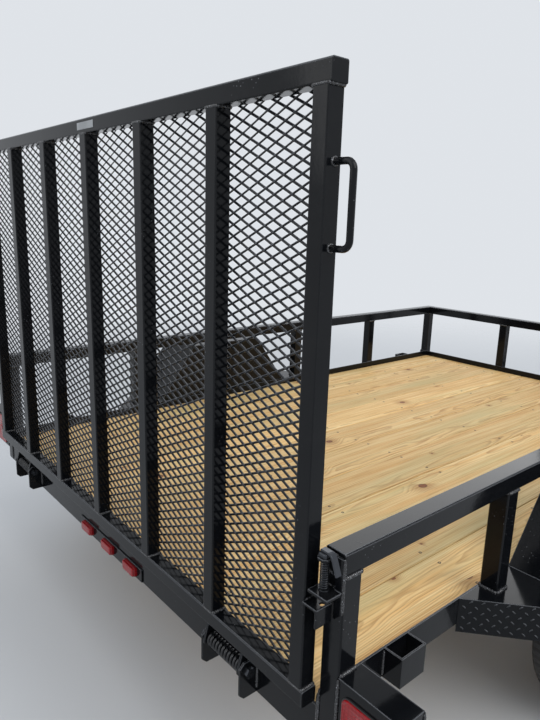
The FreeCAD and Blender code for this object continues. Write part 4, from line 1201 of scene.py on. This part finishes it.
@dataclass
class LatchPins:
    """Spring-loaded pins: a ribbed coil between the lugs, a capped head and a bent flat grip."""

    wire: float = 0.0032
    pin_radius: float = 0.0062
    core_radius: float = 0.0045
    tip: float = 0.005
    tip_share: float = 0.55
    bite: float = 0.0002
    coil_turns: int = 12
    coil_steps: int = 20
    axis_inset: float = 0.011
    coil_foot: float = 0.025
    coil_head: float = 0.089
    coil_lift: float = 0.0038
    cap: float = 0.022
    cap_corner: float = 0.0055
    cap_foot: float = 0.01465
    cap_levels: tuple[tuple[float, float], ...] = ((0.94, 0.0), (1.0, 0.0012), (1.0, 0.0072), (0.9, 0.0096),
                                                   (0.7, 0.0104))
    washer: tuple[tuple[float, float], ...] = ((0.0108, 0), (0.0112, 0.0008), (0.0112, 0.0018),
                                               (0.0104, 0.0024))
    grip_section: tuple[float, float, float] = (0.014, 0.005, 0.0012)
    grip_line: tuple[tuple[float, float], ...] = ((0.004, 0.0025), (0.0235, 0.0025), (0.028, 0.0033),
                                                  (0.032, 0.006), (0.0345, 0.0105), (0.0465, 0.04))

    def build(self) -> None:
        """Build both pins."""
        shape = Shape()
        for low, high in solids("latch_pins"):
            inner, _, out = flanks(low, high)
            foot = Vector(((low.x + high.x) / 2, inner + out * self.axis_inset, low.z))
            self.pin(shape, foot, high.z - low.z - self.cap_foot)
            self.coil(shape, foot)
            self.grip(shape, Vector((foot.x, inner, high.z)), out)
        shape.piece("latch_pin_sets", LATCH_STEEL, "chassis", Slot.STEEL, ["latch_pins"])

    def pin(self, shape: Shape, foot: Vector, shoulder: float) -> None:
        """The round pin and its cap.

        Args:
            shape: Where they go.
            foot: The pin's lower end.
            shoulder: Height at which the cap begins.
        """
        r = self.pin_radius
        core = self.core_radius
        outline = [(0, 0), (r * self.tip_share, 0), (r, self.tip), (r, self.coil_foot),
                   (core, self.coil_foot), (core, self.coil_head), (r, self.coil_head), (r, shoulder),
                   (0, shoulder)]
        shape.lathe(outline, foot, UP, 18, False)
        shape.loft([rounded_ring(foot + UP * (shoulder + lift), FORWARD, LEFT,
                                 (self.cap * share, self.cap * share, self.cap_corner * share), 4)
                    for share, lift in self.cap_levels])

    def coil(self, shape: Shape, foot: Vector) -> None:
        """The coil and the washer that it stands on.

        Args:
            shape: Where they go.
            foot: The pin's lower end.
        """
        core = self.core_radius
        washer = [(core, 0), *self.washer, (core, self.washer[-1][1]), (core, 0)]
        shape.lathe(washer, foot + UP * self.coil_foot, UP, 24, False)
        u = UP.orthogonal().normalized()
        radius = self.pin_radius + self.wire / 2 - self.bite
        start = self.coil_foot + self.coil_lift
        climb = self.coil_head - self.wire / 2 - start
        count = self.coil_turns * self.coil_steps
        path = []
        for n in range(count + 1):
            angle = 2 * math.pi * n / self.coil_steps
            side = u * math.cos(angle) + UP.cross(u) * math.sin(angle)
            path.append(foot + UP * (start + climb * n / count) + side * radius)
        shape.sweep(path, self.wire / 2, 8)

    def grip(self, shape: Shape, corner: Vector, out: float) -> None:
        """The flat strip, bent down beside the coil.

        Args:
            shape: Where it goes.
            corner: The inner end, at the strip's top.
            out: Sign of the outward direction.
        """
        line = [corner + Vector((0, out * reach, -drop)) for reach, drop in self.grip_line]
        rings = []
        for n, point in enumerate(line):
            ahead = (line[min(n + 1, len(line) - 1)] - line[max(n - 1, 0)]).normalized()
            lift = FORWARD.cross(ahead).normalized()
            rings.append(rounded_ring(point, FORWARD, lift, self.grip_section, 2))
        shape.loft(rings)


@dataclass
class GateHandles:
    """Round rods bent into grips on the gate's posts."""

    bend: float = 0.015
    bend_steps: int = 6
    sides: int = 16
    sunk: float = 0.002

    def build(self) -> None:
        """Bend both rods."""
        shape = Shape()
        for low, high in solids("gate_handles"):
            inner, outer, out = flanks(low, high)
            rod = (high.x - low.x) / 2
            reach = abs(outer - inner) - rod
            x = low.x + rod
            foot, head = low.z + rod, high.z - rod
            path = [Vector((x, inner - out * self.sunk, foot))]
            for z, first in ((foot + self.bend, -math.pi / 2), (head - self.bend, 0.0)):
                for n in range(self.bend_steps + 1):
                    angle = first + math.pi / 2 * n / self.bend_steps
                    y = inner + out * (reach - self.bend + self.bend * math.cos(angle))
                    path.append(Vector((x, y, z + self.bend * math.sin(angle))))
            path.append(Vector((x, inner - out * self.sunk, head)))
            shape.sweep(path, rod, self.sides, FORWARD)
        shape.piece("gate_handles_bent", BLACK, "gate", Slot.PAINT, ["gate_handles"])


@dataclass
class Tyre:
    """Trailer tyre: ribbed tread with shoulder slots, ringed sidewalls and beads."""

    side: str
    around: int = 288
    seat_inset: float = 0.0148
    tread_half: float = 0.077
    crown: float = 0.0045
    shoulder_drop: float = 0.012
    groove_depth: float = 0.0075
    groove_half: float = 0.0042
    groove_slope: float = 0.0012
    groove_places: tuple[float, ...] = (-0.052, -0.0175, 0.0175, 0.052)
    rib_steps: int = 5
    slots: int = 72
    shoulder_line: float = 0.0565
    shoulder_cut: float = 0.006
    rib_lines: tuple[float, float] = (0.0215, 0.049)
    rib_middle: float = 0.035
    rib_lean: float = 0.0138
    rib_cut: float = 0.0045
    centre_lean: float = 0.012
    centre_cut: float = 0.0035
    bead: tuple[tuple[float, float], ...] = ((0.0002, 0.0525), (0.0002, 0.0622), (0.012, 0.0624))
    wall_foot: float = 0.0155
    wall_steps: int = 30
    widest: float = 0.52
    wall_fall: float = 0.0405
    wall_curve: float = 2.1
    upper_share: float = 0.32
    ring_seat: float = 0.0012
    wall_rings: tuple[float, ...] = (0.16, 0.22, 0.3, 0.36, 0.55, 0.62, 0.86)
    ring_height: float = 0.0016
    ring_width: float = 0.014
    core_lift: float = 0.03
    core_places: tuple[float, float, float] = (0.055, 0.014, 0.07)
    crease: float = math.radians(38)

    def build(self) -> None:
        """Build the tyre over its CAD solid."""
        node = f"tyre_{self.side}"
        low, high = corners(node)
        rim_low, rim_high = corners(f"rim_{self.side}")
        centre = (low + high) / 2
        outer = (high.x - low.x) / 2
        half = (high.y - low.y) / 2
        seat = (rim_high.x - rim_low.x) / 2 - self.seat_inset
        wall = self.wall(outer, half, seat)
        foot, skin, crown = self.core_places
        inside = [(seat + self.core_lift, foot), (outer - 2 * self.core_lift, half - skin),
                  (outer - self.core_lift, crown)]
        section = [(r, -o, 0.0) for r, o in wall] + [(r, o, 1.0) for r, o in self.tread(outer)]
        section += [(r, o, 0.0) for r, o in wall[::-1] + inside] + [(r, -o, 0.0) for r, o in inside[::-1]]
        rings, marks = [], []
        for radius, offset, tread in section:
            ring = []
            for n in range(self.around):
                angle = 2 * math.pi * n / self.around
                r = radius - tread * self.slot_cut(n, offset, outer - radius)
                ring.append(centre + Vector((r * math.cos(angle), offset, r * math.sin(angle))))
            rings.append(ring)
            marks += [tread] * self.around
        shape = Shape()
        shape.loft(rings, False, True, True, tread=marks)
        tyre = shape.piece(node + "_treaded", RUBBER, f"wheel_{self.side}", Slot.TYRE, [node])
        tyre.data.set_sharp_from_angle(angle=self.crease)

    def crown_radius(self, outer: float, offset: float) -> float:
        """Radius of the tread at a distance from its middle."""
        return outer - self.crown * (offset / self.tread_half) ** 2

    def wall(self, outer: float, half: float, seat: float) -> list[tuple[float, float]]:
        """Draw one sidewall.

        Args:
            outer: The tyre's radius.
            half: Half its width.
            seat: Radius of the rim's bead seat.

        Returns:
            (radius, distance from the middle) points from the bead out to the shoulder.
        """
        foot = seat + self.wall_foot
        rise = self.crown_radius(outer, self.tread_half) - self.shoulder_drop - foot
        points = [(seat + lift, offset) for lift, offset in self.bead]
        for k in range(self.wall_steps + 1):
            t = k / self.wall_steps
            fall = self.wall_fall * (2 * abs(t - self.widest)) ** self.wall_curve
            fall *= 1.0 if t < self.widest else self.upper_share
            ridge = sum(math.exp(-((t - place) / self.ring_width) ** 2) for place in self.wall_rings)
            offset = half - fall - self.ring_seat + self.ring_height * ridge
            points.append((foot + rise * t, min(half, offset)))
        return points

    def tread(self, outer: float) -> list[tuple[float, float]]:
        """Draw the ribs and grooves across the tread.

        Args:
            outer: The tyre's radius.

        Returns:
            (radius, offset) points from the right shoulder to the left.
        """
        edges = [-self.tread_half]
        for place in self.groove_places:
            edges += [place - self.groove_half, place + self.groove_half]
        edges.append(self.tread_half)
        points = []
        for n in range(0, len(edges), 2):
            near, far = edges[n], edges[n + 1]
            for k in range(self.rib_steps + 1):
                offset = near + (far - near) * k / self.rib_steps
                points.append((self.crown_radius(outer, offset), offset))
            if n + 2 < len(edges):
                for offset in (far + self.groove_slope, edges[n + 2] - self.groove_slope):
                    points.append((self.crown_radius(outer, offset) - self.groove_depth, offset))
        return points

    def slot_cut(self, step: int, offset: float, sunk: float) -> float:
        """Work out how deep the cross slots are at one place on the tread.

        Args:
            step: The place round the tyre.
            offset: The place across it.
            sunk: How far the place lies under the tyre's radius.

        Returns:
            The depth.
        """
        if sunk > self.groove_depth * 0.8:
            return 0.0
        place = abs(offset)
        period = self.around // self.slots
        if place > self.shoulder_line:
            return 0.0 if step % period else self.shoulder_cut
        if self.rib_lines[0] < place < self.rib_lines[1]:
            lean = round((place - self.rib_middle) / self.rib_lean)
            return 0.0 if (step + lean) % (period * 2) else self.rib_cut
        lean = round(offset / self.centre_lean)
        return 0.0 if (step + lean + 1) % (period * 2) else self.centre_cut


@dataclass
class Wheel:
    """What a steel wheel carries besides its rim and hub: a rubber valve stem between two windows."""

    side: str
    stem_radius: float = 0.172
    face: float = 0.0175
    lean: float = 0.12
    stem: tuple[tuple[float, float], ...] = ((0, 0), (0.0078, 0), (0.0074, 0.002), (0.0056, 0.0045),
                                             (0.0048, 0.011), (0.0042, 0.013), (0.0042, 0.027),
                                             (0.0034, 0.0285), (0, 0.0285))

    def build(self) -> None:
        """Build the valve stem."""
        low, high = corners(f"rim_{self.side}")
        out = flanks(low, high)[2]
        foot = (low + high) / 2 + Vector((0.0, out * self.face, -self.stem_radius))
        shape = Shape()
        shape.lathe(self.stem, foot, Vector((0, out, self.lean)), 16)
        shape.piece(f"valve_stem_{self.side}", GRIP, f"wheel_{self.side}", Slot.TYRE)


@dataclass
class Lamps:
    """Lenses of the tail lamps, the three middle lamps and the side markers."""

    steps: int = 8
    # Share of the lamp's size, depth from its face, corner radius.
    rim: tuple[tuple[float, float, float], ...] = ((1.0, 0.007, 0.016), (1.0, 0.0028, 0.016),
                                                   (0.985, 0.001, 0.0155), (0.955, 0.0002, 0.015),
                                                   (0.93, 0.0018, 0.0145))
    rings: int = 5
    ring_reach: float = 0.86
    ring_core: float = 0.02
    ring_corners: tuple[float, float] = (0.35, 0.25)
    ring_levels: tuple[tuple[float, float], ...] = ((0.0018, 1.0), (0.0004, 0.955))
    seat: tuple[tuple[float, float], ...] = ((1.035, 0.008), (1.035, 0.0045), (1.0, 0.004), (1.0, 0.008))
    seat_corner: float = 0.018
    body_foot: float = 0.0075
    body_inset: float = 0.006
    body_ease: float = 0.002
    dome: tuple[tuple[float, float, float], ...] = ((1.0, 0.0, 0.006), (1.0, 0.45, 0.006),
                                                    (0.94, 0.5, 0.0056), (0.9, 0.86, 0.006),
                                                    (0.78, 0.98, 0.007), (0.5, 1.0, 0.006))
    dome_steps: int = 5

    def build(self) -> None:
        """Build every lens."""
        tail, gasket, small, marker = Shape(), Shape(), Shape(), Shape()
        for low, high in solids("tail_lamps"):
            self.tail_lens(tail, gasket, low, high)
        for low, high in solids("id_lamps"):
            self.small_lens(small, low, high, False)
        for low, high in solids("side_markers"):
            self.small_lens(marker, low, high, True)
        tail.piece("tail_lamp_lenses", RED_LENS, "chassis", Slot.RED, ["tail_lamps"])
        gasket.piece("tail_lamp_gaskets", GRIP, "chassis", Slot.PAINT)
        small.piece("middle_lamp_lenses", RED_LENS, "chassis", Slot.RED, ["id_lamps"])
        marker.piece("side_marker_lenses", AMBER_LENS, "chassis", Slot.AMBER, ["side_markers"])

    def tail_lens(self, lens: Shape, gasket: Shape, low: Vector, high: Vector) -> None:
        """A square lens with stepped rings round its bulb, its body, and its black seat.

        Args:
            lens: Where the lens and its body go.
            gasket: Where the seat goes.
            low: The lamp's lowest corner.
            high: Its highest corner.
        """
        y, z = (low.y + high.y) / 2, (low.z + high.z) / 2
        wide, tall = high.y - low.y, high.z - low.z

        def level(share: float, depth: float, corner: float) -> list[Vector]:
            """One ring, at a depth from the lens's face."""
            centre = Vector((low.x + depth, y, z))
            return rounded_ring(centre, LEFT, UP, (wide * share, tall * share, corner), self.steps)

        rings = [level(*place) for place in self.rim]
        for k in range(self.rings):
            for depth, shrink in self.ring_levels:
                share = (self.ring_reach * (1 - k / self.rings) + self.ring_core) * shrink
                roundness = min(1.0, self.ring_corners[0] + self.ring_corners[1] * k)
                rings.append(level(share, depth, (wide * share / 2 - 0.0002) * roundness))
        lens.loft(rings)
        gasket.loft([level(share, depth, self.seat_corner) for share, depth in self.seat], round_trip=True)
        half = wide / 2 - self.body_inset
        foot = (low.x + self.body_foot, y - half, z - half)
        lens.block(foot, (high.x, y + half, z + half), self.body_ease)

    def small_lens(self, shape: Shape, low: Vector, high: Vector, sideways: bool) -> None:
        """A domed rounded lens.

        Args:
            shape: Where it goes.
            low: The lamp's lowest corner.
            high: Its highest corner.
            sideways: Whether it faces out to its own side, and not back.
        """
        size = high - low
        foot = (low + high) / 2
        if sideways:
            inner, outer, _ = flanks(low, high)
            foot.y = inner
            rise, along, wide = LEFT * (outer - inner), FORWARD, size.x
        else:
            foot.x = high.x
            rise, along, wide = FORWARD * (low.x - high.x), LEFT, size.y
        rings = []
        for share, reach, corner in self.dome:
            section = (wide * share, size.z * share, corner * share)
            rings.append(rounded_ring(foot + rise * reach, along, UP, section, self.dome_steps))
        shape.loft(rings)


@dataclass
class TreadPlate:
    """Raised bars of checker plate on the fenders' slanted skirts."""

    pitch: float = 0.031
    length: float = 0.013475
    wide: float = 0.0058
    proud: float = 0.0013
    slant: float = 0.235
    margin: float = 0.016
    foot: float = 0.004
    levels: tuple[tuple[float, float], ...] = ((-0.5, 0.15), (-0.32, 0.8), (0.0, 1.0), (0.32, 0.8),
                                               (0.5, 0.15))
    crest: float = 0.55

    def build(self) -> None:
        """Lay the bars on all four skirts."""
        shape = Shape()
        lip = corners("side_rails")[1].z
        for side in ("left", "right"):
            low, high = corners(f"fender_{side}")
            inner, outer, _ = flanks(low, high)
            for x, ahead in ((low.x, -1.0), (high.x, 1.0)):
                start, end = Vector((x, inner, low.z)), Vector((x - ahead * self.slant, outer, low.z))
                self.panel(shape, start, end, lip - low.z, ahead)
        shape.piece("fender_tread_bars", BLACK, "chassis", Slot.PAINT)

    def panel(self, shape: Shape, start: Vector, end: Vector, tall: float, ahead: float) -> None:
        """Lay bars over one upright panel.

        Args:
            shape: Where they go.
            start: The panel's inner foot point.
            end: Its outer foot point.
            tall: Its height.
            ahead: Sign of the direction along X that it faces.
        """
        length = (end - start).length
        along = (end - start).normalized()
        out = Vector((along.y, -along.x, 0))
        out *= math.copysign(1.0, out.x * ahead)
        for i in range(int(length / self.pitch)):
            for j in range(int(tall / (self.pitch / 2))):
                reach = (i + 0.5 + 0.5 * (j % 2)) * self.pitch
                if reach > length - self.margin:
                    continue
                spot = start + along * reach + UP * ((j + 0.5) * self.pitch / 2 + self.foot)
                run = (along + UP * (1.0 if j % 2 else -1.0)).normalized()
                self.bar(shape, spot, run, out)

    def bar(self, shape: Shape, spot: Vector, run: Vector, out: Vector) -> None:
        """One lens-shaped raised bar.

        Args:
            shape: Where it goes.
            spot: Its middle, on the panel.
            run: Direction of its length.
            out: Direction that the panel faces.
        """
        across = run.cross(out).normalized()
        rings = []
        for share, size in self.levels:
            p = spot + run * (share * self.length)
            w = across * (self.wide / 2 * size)
            h = out * (self.proud * size)
            rings.append([p - w, p - w * self.crest + h, p + w * self.crest + h, p + w])
        shape.loft(rings)


@dataclass
class CadDressing:
    """Finishes of the CAD pieces that show as they are."""

    # Finish, and the names of the CAD pieces that wear it.
    table: tuple[tuple[Finish, str], ...] = (
        (BLACK, "side_rails rear_sill front_header top_rails_side top_rail_front uprights stake_pockets "
                "gate_rails gate_posts gate_bars gate_ears frame_ears latch_brackets latch_tabs fender_left "
                "fender_right light_boxes id_lamp_bar tongue_channels coupler"),
        (BLACK_SATIN, "crossmembers axle_beam leaf_springs spring_hangers"),
        (LATCH_STEEL, "hinge_pins"),
        (ZINC, "spring_clamps hub_left hub_right coupler_latch"),
        (SILVER, "rim_left rim_right"),
        (JACK_ZINC, "jack_housing jack_crank jack_leg"),
        (PALE, "gate_label"),
    )

    def build(self) -> None:
        """Give each CAD piece its finish."""
        for finish, nodes in self.table:
            material = finish.build()
            for node in nodes.split():
                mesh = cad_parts[node].data
                mesh.materials.clear()
                mesh.materials.append(material)
            LOG.info("%s on %s", finish.name, nodes)


@dataclass
class StudioSet:
    """Floor, light and the photographer's place."""

    eye: tuple[float, float, float] = (-2.90411, -1.6848, 1.4939)
    azimuth: float = 49.48
    elevation: float = -13.151
    roll: float = 1.71
    focal_pixels: float = 601.8
    image_height: int = 720
    sensor: float = 36.0
    near_clip: float = 0.05
    floor_reach: float = 16.0
    backdrop: Colour = (0.74, 0.77, 0.81)
    sky: Colour = (0.86, 0.92, 1.0)
    sky_strength: float = 0.85
    # Name, place, target, side in metres and watts of each lamp.
    lamps: tuple[tuple[str, Point, Point, float, float], ...] = (
        ("key_light", (-1.5, -5.5, 5.2), (0.4, 0.2, 0.4), 4.2, 230.0),
        ("fill_light", (-6.5, 1.5, 4.0), (0.0, 0.0, 0.5), 4.5, 70.0),
        ("front_light", (6.0, 4.5, 5.0), (0.5, 0.0, 0.4), 4.5, 110.0),
    )

    def build(self) -> None:
        """Set up floor, lamps, world and camera."""
        self.floor()
        for settings in self.lamps:
            self.lamp(*settings)
        self.world()
        self.camera()

    def floor(self) -> None:
        """A wide pale floor on the ground."""
        r = self.floor_reach
        mesh = bpy.data.meshes.new("studio_floor")
        mesh.from_pydata([(-r, -r, 0), (r, -r, 0), (r, r, 0), (-r, r, 0)], [], [(0, 1, 2, 3)])
        mesh.materials.append(FLOOR.build())
        floor = bpy.data.objects.new("studio_floor", mesh)
        bpy.context.scene.collection.objects.link(floor)

    def lamp(self, name: str, place: Point, target: Point, size: float, power: float) -> None:
        """A soft square lamp.

        Args:
            name: Its name.
            place: Where it hangs.
            target: What it points at.
            size: Its side.
            power: Its watts.
        """
        light = bpy.data.lights.new(name, "AREA")
        light.size = size
        light.energy = power
        lamp = bpy.data.objects.new(name, light)
        lamp.location = place
        lamp.rotation_euler = (Vector(target) - Vector(place)).to_track_quat("-Z", "Y").to_euler()
        bpy.context.scene.collection.objects.link(lamp)

    def world(self) -> None:
        """Even surroundings: a plain pale backdrop to the eye and to gloss, softer light for the rest."""
        world = bpy.data.worlds.new("studio_world")
        bpy.context.scene.world = world
        graph = Graph(world)
        soft = graph.add("ShaderNodeBackground", {}, {"Color": self.sky, "Strength": self.sky_strength})
        plain = graph.add("ShaderNodeBackground", {}, {"Color": self.backdrop, "Strength": 1.0})
        graph.close(graph.add("ShaderNodeMixShader", {}, {"Fac": graph.seen(), 1: soft, 2: plain}))

    def camera(self) -> None:
        """The camera at the photograph's place and angle."""
        az, el, roll = (math.radians(a) for a in (self.azimuth, self.elevation, self.roll))
        ahead = Vector((math.cos(el) * math.cos(az), math.cos(el) * math.sin(az), math.sin(el)))
        level = ahead.cross(UP).normalized()
        right = level * math.cos(roll) + level.cross(ahead) * math.sin(roll)
        camera = bpy.data.objects.new("camera", bpy.data.cameras.new("camera"))
        camera.data.sensor_width = self.sensor
        camera.data.lens = self.focal_pixels * self.sensor / self.image_height
        camera.data.clip_start = self.near_clip
        columns = (right, right.cross(ahead), -ahead, self.eye)
        camera.matrix_world = Matrix([[column[k] for column in columns] for k in range(3)] + [(0, 0, 0, 1)])
        bpy.context.scene.collection.objects.link(camera)
        bpy.context.scene.camera = camera


def main() -> None:
    """Build every sub-assembly in order."""
    logging.basicConfig(level=logging.INFO, format="%(name)s: %(message)s")
    bpy.context.scene.view_settings.view_transform = "Standard"
    for part in (StudioSet(), CadDressing(), Deck(), GateMesh(), Welds(), HingeSprings(), LatchPins(),
                 GateHandles(), Tyre("left"), Wheel("left"), Tyre("right"), Wheel("right"), Lamps(),
                 TreadPlate()):
        part.build()


if __name__ == "__main__":
    main()
